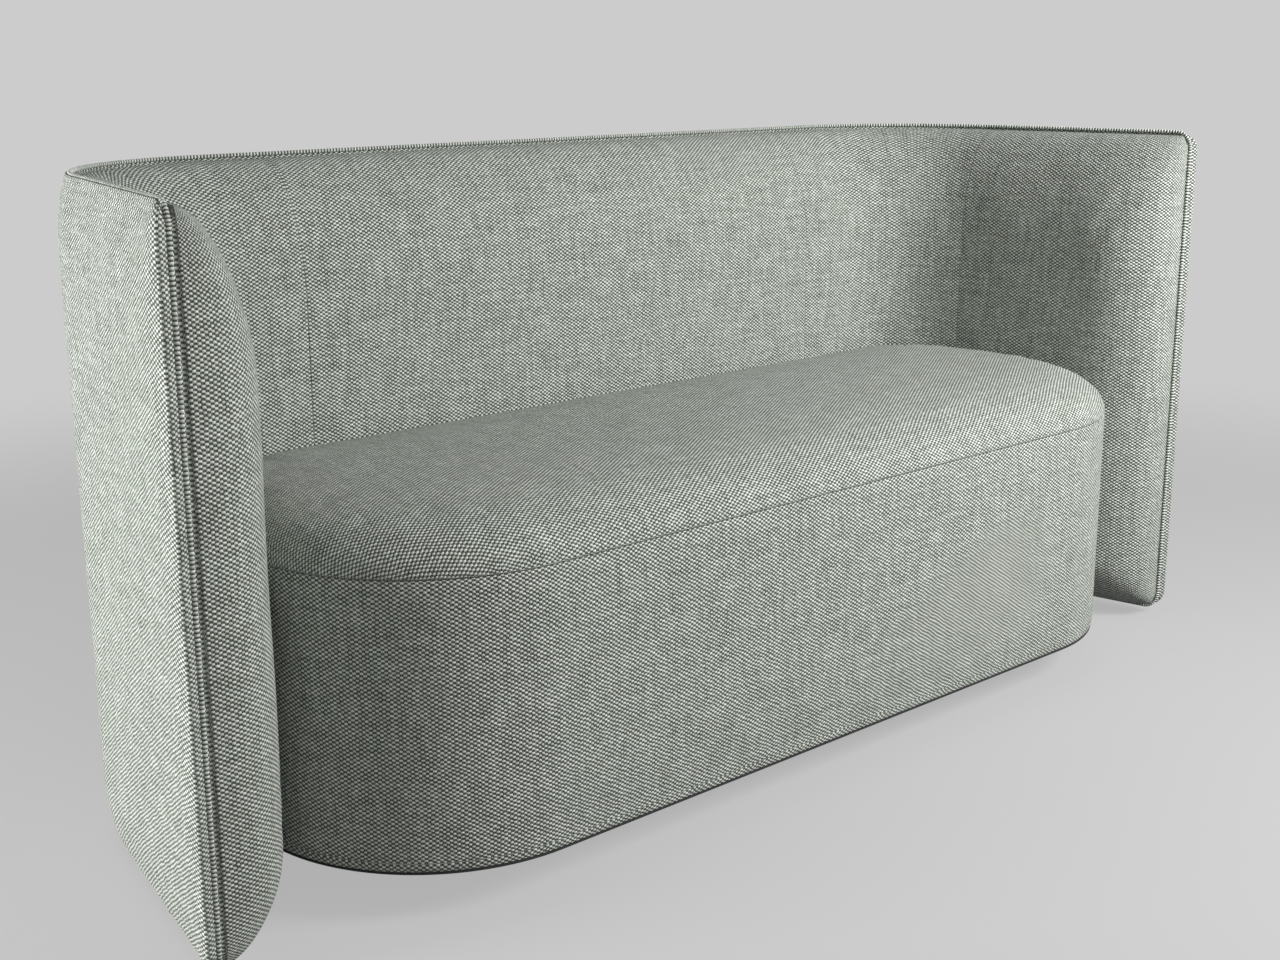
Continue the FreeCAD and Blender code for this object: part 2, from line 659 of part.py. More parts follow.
def plan_points(inset):
    """The four right-hand points of the block's plan, from the front to the back."""
    front = f"(seat_corner - ({inset}))"
    rear = f"({REAR_RADIUS} - ({inset}))"
    return [
        (FRONT_CENTRE_X, f"{FRONT_Y} + ({inset})"),
        (f"{FRONT_CENTRE_X} + {front}*cos(arm_splay)", f"{FRONT_CENTRE_Y} + {front}*sin(arm_splay)"),
        (f"corner_x + {rear}*cos(arm_splay)", f"{CORNER_Y} + {rear}*sin(arm_splay)"),
        ("corner_x", f"{CORNER_Y} + {rear}"),
    ]


def block_plan(inset):
    """Closed plan of the seat block, a given distance inside its side."""
    front = f"seat_corner - ({inset})"
    rear = f"{REAR_RADIUS} - ({inset})"
    right = plan_points(inset)
    left = [(negative(x), y) for x, y in reversed(right)]
    return [(*right[0], front, 1), right[1], (*right[2], rear, 1), right[3],
            (*left[0], rear, 1), left[1], (*left[2], front, 1), left[3]]


def seat_form(name, skin):
    """The crowned top of the seat: plans lofted up a rolled edge and then over the crown."""
    owner = body(name)
    roll_angles = (0, 15, 30, 45, 60, 75)
    levels = [(f"seat_round*(1 - cos({angle}))", f"seat_roll*sin({angle})") for angle in roll_angles]
    edge_in, edge_up = levels[-1]
    rise = f"(seat_roll + seat_crown - {edge_up})"
    levels += [(f"{edge_in} + {run}*crown_run", f"{edge_up} + {part}*{rise}")
               for run, part in ((0.4, 0.55), (1.0, 1.0))]
    plans = []
    for inset, up in levels:
        sunk = "0" if not plans else skin
        plans.append(outline(sketch(owner, "XY_Plane", f"seat_seam + {up} - ({sunk})"),
                             block_plan(f"{inset} + {skin}")))
    loft = owner.newObject("PartDesign::AdditiveLoft", "Loft")
    loft.Profile = plans[0]
    loft.Sections = plans[1:]
    loft.Ruled = True
    return owner, plans[0]


def band(name, outside, inside, low, high):
    """An upright band that follows the block's plan between two insets."""
    return cut(name, slab(name + "_outside", block_plan(outside), low, high),
               slab(name + "_inside", block_plan(inside), low, high))


SIDE = "(cover + padding)"
INNER = f"({SIDE} + wall)"
BASE_LOW = "(block_bottom + cloth)"
BASE_TOP = f"({BASE_LOW} + base_board)"
DECK_LOW = "(deck_top - deck_board)"

keep(cut("SeatTopCover", seat_form("SeatSkin", "0")[0], seat_form("SeatInside", "cover")[0]),
     "seat_top_cover")
foam, foam_plan = seat_form("SeatFoam", "(cover + foam_play)")
keep(pad(foam, foam_plan, "seat_seam - deck_top", down=True), "seat_foam")
rear_holes = [rod("RearHole", (x, REAR_FACE, z), "spacer_radius + spacer_play", "2*(cover + padding)", LYING)
              for x, z in link_places]
keep(cut("SideCover", band("SideCoverBand", "0", "cover", "block_bottom", "seat_seam"), *rear_holes),
     "seat_side_cover")
keep(cut("SidePadding", band("SidePaddingBand", "cover", SIDE, BASE_LOW, "deck_top"), *rear_holes),
     "seat_side_padding")

# Screws: down through the deck into the ribs, and down through the floor into the plinth rails.
rib_places = {"right": "rib_x", "middle": "0", "left": "-rib_x"}
rail_middles = [f"{FRONT_RAIL_Y} + rail/2", f"{REAR_RAIL_Y} + rail/2"]


def wood_screw(x, y, top):
    return turned("Screw", [
        ("0", "-(screw_head + screw_length)"), ("screw_radius", "-(screw_head + screw_length)"),
        ("screw_radius", "-screw_head"), ("screw_head_radius", "-screw_head"),
        ("screw_head_radius", "0"), ("0", "0"),
    ], (x, y, top))


deck_screws = group("DeckScrews", [wood_screw(x, y, "deck_top") for x in rib_places.values()
                                   for y in ("-deck_screw_y", "deck_screw_y")])
plinth_screws = group("PlinthScrews", [wood_screw(x, y, BASE_TOP) for y in rail_middles
                                       for x in ("plinth_screw_x", "0", "-plinth_screw_x")])
keep(deck_screws, "deck_screws")
keep(plinth_screws, "plinth_screws")

# The seat box: floor, deck, walls and ribs.
keep(cut("BaseBoard", slab("BaseBoardWhole", block_plan(SIDE), BASE_LOW, BASE_TOP), plinth_screws),
     "seat_base_board")
keep(cut("DeckBoard", slab("DeckBoardWhole", block_plan(SIDE), DECK_LOW, "deck_top"), deck_screws),
     "seat_deck_board")
WALL_HEIGHT = f"{DECK_LOW} - {BASE_TOP}"
keep(box("FrontWall", (negative(FRONT_CENTRE_X), f"{FRONT_Y} + {SIDE}", BASE_TOP),
         (f"2*{FRONT_CENTRE_X}", "wall", WALL_HEIGHT)), "seat_front_board")
rear_wall = box("RearWall", ("-corner_x", f"{REAR_FACE} - wall", BASE_TOP),
                ("2*corner_x", "wall", WALL_HEIGHT))
keep(cut("RearWallCut", rear_wall, *link_holes), "seat_rear_board")
outside, inside = plan_points(SIDE), plan_points(INNER)
keep_pair(slab("FrontBend", [(*outside[0], f"seat_corner - {SIDE}", 1), outside[1],
                             (*inside[1], f"seat_corner - {INNER}", -1), inside[0]],
               BASE_TOP, DECK_LOW), "seat_front_corner_board")
keep_pair(slab("SideWall", [outside[1], outside[2], inside[2], inside[1]], BASE_TOP, DECK_LOW),
          "seat_side_board")
keep_pair(slab("RearBend", [(*outside[2], f"{REAR_RADIUS} - {SIDE}", 1), outside[3],
                            (*inside[3], f"{REAR_RADIUS} - {INNER}", -1), inside[2]],
               BASE_TOP, DECK_LOW), "seat_rear_corner_board")
for spot, x in rib_places.items():
    rib = box("Rib", (f"{x} - rib/2", f"{FRONT_Y} + {INNER}", BASE_TOP),
              ("rib", f"{REAR_FACE} - wall - ({FRONT_Y} + {INNER})", WALL_HEIGHT))
    keep(cut("RibCut", rib, deck_screws), "seat_rib_" + spot)

# Underside cloth and the plinth under it.
keep(cut("Cloth", slab("ClothWhole", block_plan("cloth_inset"), "block_bottom", BASE_LOW), plinth_screws),
     "underside_cloth")
RAIL_HEIGHT = "block_bottom - plinth_bottom"
for spot, y in (("front", FRONT_RAIL_Y), ("rear", REAR_RAIL_Y)):
    rail = box("Rail", ("-plinth_half", y, "plinth_bottom"), ("2*plinth_half", "rail", RAIL_HEIGHT))
    keep(cut("RailCut", rail, plinth_screws, *holes[spot + "_right"], *holes[spot + "_left"]),
         "plinth_rail_" + spot)
keep_pair(box("PlinthEnd", ("plinth_half - rail", f"{FRONT_RAIL_Y} + rail", "plinth_bottom"),
              ("rail", f"{REAR_RAIL_Y} - {FRONT_RAIL_Y} - rail", RAIL_HEIGHT)), "plinth_end")

doc.recompute()

# Nothing is written unless every object came out sound.
for thing in doc.Objects:
    if "Invalid" in thing.State or "Error" in thing.State:
        raise RuntimeError(f"{thing.Label} failed: {thing.State}")
for thing in SUB_PARTS:
    if thing.Shape.isNull() or not thing.Shape.isValid() or not thing.Shape.Solids:
        raise RuntimeError(f"{thing.Label} has no sound solid")

os.makedirs("parts", exist_ok=True)
for thing in SUB_PARTS:
    thing.Shape.exportStep(f"parts/{thing.Label}.step")
print(f"{len(SUB_PARTS)} sub-parts written")
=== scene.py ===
"""Lounge sofa: one padded screen as back and arms round a padded seat block, in a chunky two-tone weave."""
import json
import math

import bmesh
import bpy
import numpy as np
from mathutils import Matrix, Vector

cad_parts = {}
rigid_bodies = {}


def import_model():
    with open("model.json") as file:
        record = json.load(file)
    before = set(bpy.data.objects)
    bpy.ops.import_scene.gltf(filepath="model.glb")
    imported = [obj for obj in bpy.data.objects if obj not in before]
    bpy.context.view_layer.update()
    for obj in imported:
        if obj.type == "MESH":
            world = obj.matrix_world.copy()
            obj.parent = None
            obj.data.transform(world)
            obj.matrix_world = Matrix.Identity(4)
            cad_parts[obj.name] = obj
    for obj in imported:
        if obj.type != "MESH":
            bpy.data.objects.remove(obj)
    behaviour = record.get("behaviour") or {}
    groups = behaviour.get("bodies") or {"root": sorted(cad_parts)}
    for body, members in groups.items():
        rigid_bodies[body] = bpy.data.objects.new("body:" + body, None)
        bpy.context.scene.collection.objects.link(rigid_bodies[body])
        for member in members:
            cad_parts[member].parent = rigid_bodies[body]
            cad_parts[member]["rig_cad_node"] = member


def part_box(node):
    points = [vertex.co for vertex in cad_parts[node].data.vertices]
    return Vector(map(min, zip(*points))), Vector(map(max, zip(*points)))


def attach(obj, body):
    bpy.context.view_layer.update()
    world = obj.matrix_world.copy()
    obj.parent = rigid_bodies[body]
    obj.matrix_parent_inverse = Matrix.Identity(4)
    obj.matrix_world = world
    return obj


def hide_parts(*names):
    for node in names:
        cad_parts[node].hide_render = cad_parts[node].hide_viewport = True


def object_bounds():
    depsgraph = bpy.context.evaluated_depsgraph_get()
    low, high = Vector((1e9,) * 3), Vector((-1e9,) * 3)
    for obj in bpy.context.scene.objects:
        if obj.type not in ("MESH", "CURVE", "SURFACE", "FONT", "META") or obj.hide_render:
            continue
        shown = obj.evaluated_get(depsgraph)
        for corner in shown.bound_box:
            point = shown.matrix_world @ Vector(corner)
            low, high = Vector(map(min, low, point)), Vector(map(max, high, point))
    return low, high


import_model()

cad_low, cad_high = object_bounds()
SOFA = "sofa"

# Screen sizes in metres
WELT_LOW, WELT_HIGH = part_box("perimeter_welt")
PANEL_FOOT, PANEL_TOP = WELT_LOW.z, WELT_HIGH.z
PANEL_MIDDLE = (PANEL_FOOT + PANEL_TOP) / 2
WELT_RADIUS = 0.0030
BACK_LINE = WELT_HIGH.y - WELT_RADIUS
CORNER_RADIUS = 0.258
CORNER_Y = BACK_LINE - CORNER_RADIUS
BACK_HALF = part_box("back_board")[1].x
SPLAY = math.radians(10.4)
CORNER_TURN = math.pi / 2 - SPLAY
CORNER_RUN = CORNER_RADIUS * CORNER_TURN
ARM_RUN = 0.346
ARM_START = BACK_HALF + CORNER_RUN
SCREEN_END = ARM_START + ARM_RUN
PANEL_CORNER, CORNER_PULL = 0.030, 0.15
INNER_DEPTH = BACK_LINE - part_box("back_inner_cover")[0].y
OUTER_DEPTH = cad_high.y - BACK_LINE
TOP_ROLL, FOOT_ROLL = 0.182, 0.085
ARM_NOSE, NOSE_POWER = 0.110, 0.7
INNER_SLACK, INNER_RIPPLE = 0.004, 0.0012
PAD_INSET = 0.0085
PAD_FOOT, PAD_TOP, PAD_END = PANEL_FOOT + PAD_INSET, PANEL_TOP - PAD_INSET, SCREEN_END - PAD_INSET
GROOVE, GROOVE_DEPTH, RIM_STEP = 0.0090, 0.006, 0.0025
PANEL_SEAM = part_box("back_inner_cover")[1].x
SEAM_LIP, SEAM_LIP_REACH, SEAM_LIP_FADE = 0.0005, 0.004, 0.04
SEAM_HALF_GAP, SEAM_EASE = 0.0001, 0.090
FOAM_BACK, FOAM_BACK_ROLL = 0.020, 0.030
OUTER_SLACK, OUTER_RIPPLE, RIPPLE_REACH = 0.002, 0.0008, 0.080
RIPPLE_WAVES = ((19, 7, 0.4), (-11, 23, 1.9), (37, 17, 4.1))
# The outer cover's edge, as insets from the outline and outward depths: the groove's floor, then the
# lip's arc, whose radius, depth and drop below the outline are given at the top and bottom, and at the
# arm fronts
GROOVE_FLOOR = ((0.0112, -0.0170), (0.0108, -0.0100), (0.0104, -0.0040), (0.0085, 0.0008), (0.0050, 0.0030))
TOP_LIP, FRONT_LIP = (0.0020, 0.0030, 0.0025), (0.0040, 0.0110, 0.0)
LIP_TURN, LIP_STEPS, LIP_ROWS = (-50, 68), 8, 0.0026
FACE_STEPS, FACE_REACH, FRONT_REACH = 6, 0.026, 0.030
FLOOR_BACK, PADDING_BACK = (0.0117, 0.0124), (-0.0170, -0.0110, -0.0070, -0.0052)
PLATE_LIFT, PLATE_REACH = 0.0017, 0.050
TOP_CORD, FRONT_CORD, CORD_OUT, CORD_RADIUS = 0.0030, 0.0068, -0.0007, 0.0024
BEAD, BEAD_SWELL, BEAD_RINGS, CORD_SIDES = 0.0046, 0.13, 4, 10

# Seat block sizes in metres
BLOCK_LOW, BLOCK_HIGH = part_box("seat_side_cover")
BLOCK_FRONT, BLOCK_REAR = BLOCK_LOW.y, BLOCK_HIGH.y
BLOCK_FOOT, SEAT_SEAM, SEAT_TOP = BLOCK_LOW.z, BLOCK_HIGH.z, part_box("seat_top_cover")[1].z
FRONT_RADIUS = 0.242
FRONT_HALF = BLOCK_HIGH.x - FRONT_RADIUS
REAR_RADIUS = 0.150
FRONT_TURN = math.pi / 2 + SPLAY
REAR_TURN = math.pi - FRONT_TURN
SEAT_ROLL = 0.066
SEAT_CROWN, CROWN_START, CROWN_REACH = 0.009, SEAT_ROLL * 0.4, 0.150
SIDE_THICKNESS = 0.010
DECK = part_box("seat_foam")[0].z
FACE_INSET = 0.0020
BLOCK_STEPS = 280
# Sections as (inset, height), heights from the deck, the seam and the block's lower edge
FOAM_UNDER = ((0.060, 0.0), (0.016, 0.001), (0.012, 0.012))
SEAT_TUCK = ((0.012, -0.012), (0.0095, -0.0040), (0.0065, -0.0006))
SEAT_LIP = ((0.0030, 0.0001), (0.0022, 0.0014))
SEAT_LIP_TOP, SEAT_SLACK = 0.005, 0.003
MIDDLE_HALF, MIDDLE_RINGS = 0.44, 11
SIDE_OVER = ((0.0021, -0.0018), (0.0028, -0.0007), (0.0048, -0.0002), (0.0085, -0.0010))
SIDE_UNDER = ((0.0078, 0.0012), (0.0045, 0.0008), (0.0026, 0.0035))
# A black strip along the block's lower edge: painted shadow, standing for the dark shadow line under the
# block
PAINTED_SHADOW_STRIP = ((0.0036, -0.0012), (0.0036, 0.0006), (0.0120, 0.0006), (0.0120, -0.0012))
EDGE_EASE = 0.030
# The side's length is what the block's depth leaves after the two corners, along the side's slant
CORNERS_DEEP = FRONT_RADIUS * (1 - math.cos(FRONT_TURN)) + REAR_RADIUS * (math.cos(FRONT_TURN) + 1)
FLANK_RUN = (BLOCK_REAR - BLOCK_FRONT - CORNERS_DEEP) / math.sin(FRONT_TURN)
REAR_HALF = (FRONT_HALF + FRONT_RADIUS * math.sin(FRONT_TURN) + FLANK_RUN * math.cos(FRONT_TURN)
             - REAR_RADIUS * math.sin(FRONT_TURN))
BLOCK_HALF_RUN = FRONT_HALF + FRONT_RADIUS * FRONT_TURN + FLANK_RUN + REAR_RADIUS * REAR_TURN + REAR_HALF

# Cloth sizes, with how far each pad may swell and how full it is
GRID = 0.012
SEWN_ROWS = (0.0015, 0.0040, 0.0080)
OUTER_ROW, OUTER_COLUMN, SIDE_REAR_ROW = 0.014, 0.015, 5 * GRID
ARC_STEPS, CORNER_STEPS = 240, 24
YARN_ACROSS, YARN_ALONG = 0.0040, 0.00255
SWELL_FRAMES, SWELL_PRESSURE, SWELL_QUALITY = 20, 4, 5
BACK_SWELL, PANEL_SWELL, OUTER_SWELL, SEAT_SWELL, SIDE_SWELL = 0.0040, 0.0022, 0.0035, 0.0030, 0.0025
INNER_FILL, OUTER_FILL, SEAT_FILL, SIDE_FILL = 0.9, 0.95, 0.85, 0.95
SAME_PLACE, TINY = 1e-5, 1e-9


def screen_line(run):
    """Plan points and outward directions along the seam line, by the length run from the middle of the
    back. A straight back, a quarter-like bend that turns through CORNER_TURN, then a straight splayed
    arm: the bend's angle is the run past the back over the radius, held between 0 and the full turn. Left
    is the mirror of right."""
    side, reach = np.sign(run), np.abs(run)
    turn = np.clip((reach - BACK_HALF) / CORNER_RADIUS, 0, CORNER_TURN)
    arm = np.maximum(reach - ARM_START, 0)
    out_x, out_y = np.sin(turn), np.cos(turn)
    x = np.minimum(reach, BACK_HALF) + CORNER_RADIUS * out_x + arm * out_y
    y = CORNER_Y + CORNER_RADIUS * out_y - arm * out_x
    return np.stack([side * x, y], -1), np.stack([side * out_x, out_y], -1)


def block_line(run):
    """Plan points and outward directions round the seat block, by the length run from the middle of its
    front. Straight front, round front corner, side that runs with the arm, round rear corner, straight
    rear: each piece is the part of the run that falls in it, and the heading is the sum of the two
    corners' angles so far."""
    side, left = np.sign(run), np.abs(run)
    front = np.minimum(left, FRONT_HALF)
    left = left - FRONT_HALF
    first = np.clip(left / FRONT_RADIUS, 0, FRONT_TURN)
    left = left - FRONT_RADIUS * FRONT_TURN
    flank = np.clip(left, 0, FLANK_RUN)
    left = left - FLANK_RUN
    second = np.clip(left / REAR_RADIUS, 0, REAR_TURN)
    rear = np.maximum(left - REAR_RADIUS * REAR_TURN, 0)
    heading = first + second
    x = front + FRONT_RADIUS * np.sin(first) + flank * math.cos(FRONT_TURN) - rear
    x = x + REAR_RADIUS * (np.sin(FRONT_TURN + second) - math.sin(FRONT_TURN))
    y = BLOCK_FRONT + FRONT_RADIUS * (1 - np.cos(first)) + flank * math.sin(FRONT_TURN)
    y = y + REAR_RADIUS * (math.cos(FRONT_TURN) - np.cos(FRONT_TURN + second))
    return np.stack([side * x, y], -1), np.stack([side * np.sin(heading), -np.cos(heading)], -1)


def share(distance, reach):
    """How much of its depth a padded edge has at a distance from its seam: a quarter of an ellipse, 0 at the
    seam and 1 from reach on."""
    return np.sqrt(1 - (1 - np.clip(distance / reach, 0, 1)) ** 2)


def rolled_steps(reach, depth, step=GRID):
    """Distances from a seam whose points lie an even step apart along that quarter ellipse."""
    angle = np.linspace(0, np.pi / 2, ARC_STEPS)
    along, rise = reach * (1 - np.cos(angle)), depth * np.sin(angle)
    length = np.concatenate([[0], np.cumsum(np.hypot(np.diff(along), np.diff(rise)))])
    return np.interp(np.linspace(0, length[-1], round(length[-1] / step) + 1), length, along)


def spread(start, end, step=GRID):
    """Even steps from start to end, both included."""
    return np.linspace(start, end, max(2, round(abs(end - start) / step) + 1))


def closed_in(start, end, rows, step=GRID):
    """Steps from start to end that crowd towards both ends, at the distances in rows."""
    near = np.array((0, *rows))
    between = spread(start + near[-1], end - near[-1], step)[1:-1]
    return np.concatenate([start + near, between, end - near[::-1]])


def rim_row(steps, reach):
    """Steps from a seam with one more just inside the first, where the quarter ellipse is RIM_STEP deep."""
    return np.insert(steps, 1, reach / 2 * (RIM_STEP / INNER_DEPTH) ** 2)


def unrolled(run, height):
    """Distance from a point of the screen, laid out flat, to its outline: a rectangle with round corners."""
    x, z = past_corner(run, height)
    outside = np.hypot(np.maximum(x, 0), np.maximum(z, 0)) + np.minimum(np.maximum(x, z), 0)
    return PANEL_CORNER - outside


def past_corner(run, height):
    """How far a point of the flat screen lies beyond the centre of its nearest round corner, out and up
    or down."""
    half = (PANEL_TOP - PANEL_FOOT) / 2
    return np.abs(run) - (SCREEN_END - PANEL_CORNER), np.abs(height - PANEL_MIDDLE) - (half - PANEL_CORNER)


def moved_in(run, height, by):
    """Runs and heights moved straight in from the outline: square to the nearest edge, or towards the
    centre of a round corner."""
    x, z = past_corner(run, height)
    round_corner = (x > 0) & (z > 0)
    out_x, out_z = np.where(round_corner, x, x > z), np.where(round_corner, z, x <= z)
    step = by / np.maximum(np.hypot(out_x, out_z), TINY)
    return run - np.sign(run) * out_x * step, height - np.sign(height - PANEL_MIDDLE) * out_z * step


def rounded_run(run, height):
    """The run pulled back near an arm's front so that its end follows the panel's round corners: the
    circle's own pull at the end, fading as a square over CORNER_PULL."""
    edge = np.minimum(height - PANEL_FOOT, PANEL_TOP - height)
    short = np.maximum(PANEL_CORNER - edge, 0)
    pull = PANEL_CORNER - np.sqrt(PANEL_CORNER ** 2 - short ** 2)
    weight = np.clip((np.abs(run) - (SCREEN_END - CORNER_PULL)) / CORNER_PULL, 0, 1) ** 2
    return run - np.sign(run) * pull * weight


def ripple(across, up):
    """Slow unevenness of stuffed cloth, from -1 to 1: the mean of waves of different slants and lengths."""
    waves = [np.sin(wide * across + tall * up + phase) for wide, tall, phase in RIPPLE_WAVES]
    return sum(waves) / len(waves)


def edge_distances(run, height):
    """Distances to the nearer of the inner pad's top and bottom, and to its nearer arm front, along the
    row."""
    end = np.abs(rounded_run(np.full_like(run, SCREEN_END), height)) - PAD_INSET
    return np.minimum(height - PAD_FOOT, PAD_TOP - height), end - np.abs(rounded_run(run, height))


def drawn_in(run, height, by):
    """Runs and heights moved in from the screen's outline by a length, in proportion to the distance out."""
    half = (PANEL_TOP - PANEL_FOOT) / 2
    return run * (1 - by / SCREEN_END), PANEL_MIDDLE + (height - PANEL_MIDDLE) * (1 - by / half)


def screen_points(run, height, depth):
    """Points of the screen: the seam line at each run, moved along the outward direction by the depth."""
    plan, outward = screen_line(rounded_run(run, height))
    return np.concatenate([plan + outward * depth[..., None], height[..., None]], -1)


def inner_panel_grid(start, end):
    """Front and back sheets of an inner panel between two runs, and how freely each point may swell. Rows
    climb the rolls at the foot and at the top in even steps, and columns crowd at a sewn seam or climb
    the nose. The inward depth is the lesser roll's share, times the nose's share to the power NOSE_POWER,
    of the full depth, with a slight ripple where it is deep, and a dip of SEAM_LIP at each sewn seam. It
    starts PAD_INSET from the outline and GROOVE from the seam line, where the back sheet is drawn in
    beside the cord. The swelling eases in as a parabola from the sewn seams and in proportion from the
    edges."""
    foot, top = [rim_row(rolled_steps(roll, INNER_DEPTH), roll) for roll in (FOOT_ROLL, TOP_ROLL)]
    rows = np.concatenate([PAD_FOOT + foot, spread(PAD_FOOT + FOOT_ROLL, PAD_TOP - TOP_ROLL)[1:-1],
                           PAD_TOP - top[::-1]])
    if end < PAD_END:
        columns = closed_in(start, end, SEWN_ROWS)
        to_seam = np.minimum(columns - start, end - columns)
    else:
        nose = end - rim_row(rolled_steps(ARM_NOSE, INNER_DEPTH), ARM_NOSE)[::-1]
        sewn = start + np.array((0, *SEWN_ROWS))
        columns = np.concatenate([sewn, spread(sewn[-1], nose[0])[1:-1], nose])
        to_seam = columns - start
    run, height = np.meshgrid(columns, rows)
    edge, tip = edge_distances(run, height)
    rolled = np.minimum(share(height - PAD_FOOT, FOOT_ROLL), share(PAD_TOP - height, TOP_ROLL))
    body = rolled * share(tip, ARM_NOSE) ** NOSE_POWER
    lip = SEAM_LIP * (1 - share(to_seam, SEAM_LIP_REACH)) * np.sqrt(share(edge, SEAM_LIP_FADE))
    full = INNER_DEPTH - INNER_SLACK - GROOVE
    depth = GROOVE + full * body + INNER_RIPPLE * body ** 2 * ripple(run, height) - lip
    back = GROOVE + (FOAM_BACK - GROOVE) * share(edge, FOAM_BACK_ROLL) * share(tip, FOAM_BACK_ROLL)
    from_seam = 1 - (1 - np.clip(to_seam / SEAM_EASE, 0, 1)) ** 2
    ease = from_seam * np.clip(np.minimum(edge, tip) / EDGE_EASE, 0, 1)
    rear = screen_points(*drawn_in(run, height, GROOVE_DEPTH), -back)
    return screen_points(run, height, -depth), rear, ease


def front_share(run, height):
    """How far a point of the flat screen belongs to an arm's front rather than to its top or bottom edge:
    a smooth step from 0 to 1 over the difference of its distances to them, FRONT_REACH to either side."""
    to_edge = np.minimum(height - PANEL_FOOT, PANEL_TOP - height)
    part = np.clip((1 + (to_edge - SCREEN_END + np.abs(run)) / FRONT_REACH) / 2, 0, 1)
    return part * part * (3 - 2 * part)


def outer_grid():
    """Front and back sheets of the outer cover, and how freely each point may swell, from none at the
    lip. Rows and columns start on a flat grid whose first few insets, crowded together, stand for the
    groove's floor and the lip's arc: each point there is moved in, and out to its depth, as that section
    says. Beyond the lip the depth grows to the full depth as a parabola whose first slope is the arc's
    last. The lip's sizes pass from those of the top to those of the front, and the floor is lifted by
    PLATE_LIFT, as a flat-topped bell, over the steel plates where the core's boards meet."""
    floor = np.array(GROOVE_FLOOR)
    turn = np.radians(np.linspace(*LIP_TURN, LIP_STEPS))
    on_floor, on_lip = np.zeros(len(floor)), np.ones(LIP_STEPS)
    nominal = np.linspace(0, LIP_ROWS, len(floor) + LIP_STEPS)
    near = np.concatenate([nominal, LIP_ROWS + np.linspace(0, FACE_REACH, FACE_STEPS + 1)[1:]])
    run, height = np.meshgrid(closed_in(-SCREEN_END, SCREEN_END, near[1:], OUTER_COLUMN),
                              closed_in(PANEL_FOOT, PANEL_TOP, near[1:], OUTER_ROW))
    run = rounded_run(run, height)
    inset = unrolled(run, height)
    front_part = front_share(run, height)
    radius, lip_depth, drop = [top + (front - top) * front_part for top, front in zip(TOP_LIP, FRONT_LIP)]

    def section(floor_values, lip_values):
        """Values along the floor and the lip, taken at each point's inset."""
        return np.interp(inset, nominal, np.concatenate([floor_values, lip_values]))

    lip_part, beyond = section(on_floor, on_lip), np.maximum(inset - LIP_ROWS, 0)
    moved = section(floor[:, 0], 0 * on_lip) + radius * section(on_floor, 1 - np.cos(turn)) + drop * lip_part
    near_plate = sum(np.exp(-((np.abs(run) - joint) / PLATE_REACH) ** 4) for joint in (BACK_HALF, ARM_START))
    lifted = PLATE_LIFT * near_plate * np.interp(inset, nominal[2:4], (1, 0))
    moved = moved - lifted - np.minimum(inset, LIP_ROWS)
    moved = moved * np.clip(1 - beyond / RIPPLE_REACH, 0, 1)
    lip_top = lip_depth + radius * np.sin(turn[-1])
    rise = OUTER_DEPTH - OUTER_SLACK - lip_top
    part = np.clip(beyond / (2 * rise * np.tan(turn[-1])), 0, 1)
    depth = section(floor[:, 1], 0 * on_lip) + lip_depth * lip_part + radius * section(on_floor, np.sin(turn))
    depth = depth + rise * (1 - (1 - part) ** 2)
    depth = depth + OUTER_RIPPLE * np.clip(beyond / RIPPLE_REACH, 0, 1) * ripple(run, height)
    front = on_outline(*moved_in(run, height, moved), depth)[0]
    back_moved = np.interp(inset, near, np.maximum(np.linspace(*FLOOR_BACK, len(near)) - near, 0))
    back_depth = np.interp(inset, nominal[:len(PADDING_BACK)], PADDING_BACK)
    back = on_outline(*moved_in(run, height, back_moved), back_depth)[0]
    return front, back, np.clip(beyond / EDGE_EASE, 0, 1)


def walked(line):
    """The length walked to each point of a line of points."""
    return np.concatenate([[0], np.cumsum(np.linalg.norm(np.diff(line, axis=0), axis=1))])


def cloth_map(grid):
    """Cloth coordinates in metres: the length walked along the middle row, and along the middle column."""
    return np.stack(np.meshgrid(walked(grid[len(grid) // 2]), walked(grid[:, grid.shape[1] // 2])), -1)


def grid_faces(rows, columns, wrap=False):
    """Corner numbers of the quads of a grid whose points are numbered row by row; wrap joins last to
    first."""
    row, column = np.meshgrid(np.arange(rows - 1), np.arange(columns if wrap else columns - 1), indexing="ij")
    beside = (column + 1) % columns
    corners = [row * columns + column, row * columns + beside, (row + 1) * columns + beside,
               (row + 1) * columns + column]
    return np.stack(corners, -1).reshape(-1, 4)


def mesh_object(name, points, faces, cloth):
    """A smooth mesh of quads, turned outwards by the sign of its volume: the sum over its triangles of the
    triple product of their corners. Cloth coordinates go on the corners of its faces as its UV map."""
    corner = points[faces]
    volume = np.einsum("ij,ij->", corner[:, 0], np.cross(corner[:, 1], corner[:, 2]))
    volume += np.einsum("ij,ij->", corner[:, 0], np.cross(corner[:, 2], corner[:, 3]))
    faces = faces if volume > 0 else faces[:, ::-1]
    mesh = bpy.data.meshes.new(name)
    mesh.vertices.add(len(points))
    mesh.vertices.foreach_set("co", points.astype(np.float32).ravel())
    mesh.loops.add(faces.size)
    mesh.loops.foreach_set("vertex_index", faces.ravel().astype(np.int32))
    mesh.polygons.add(len(faces))
    mesh.polygons.foreach_set("loop_start", np.arange(0, faces.size, 4, dtype=np.int32))
    mesh.polygons.foreach_set("use_smooth", np.ones(len(faces), bool))
    mesh.update(calc_edges=True)
    layer = mesh.uv_layers.new(name="cloth")
    layer.data.foreach_set("uv", cloth[faces.ravel()].astype(np.float32).ravel())
    piece = bpy.data.objects.new(name, mesh)
    bpy.context.scene.collection.objects.link(piece)
    return piece


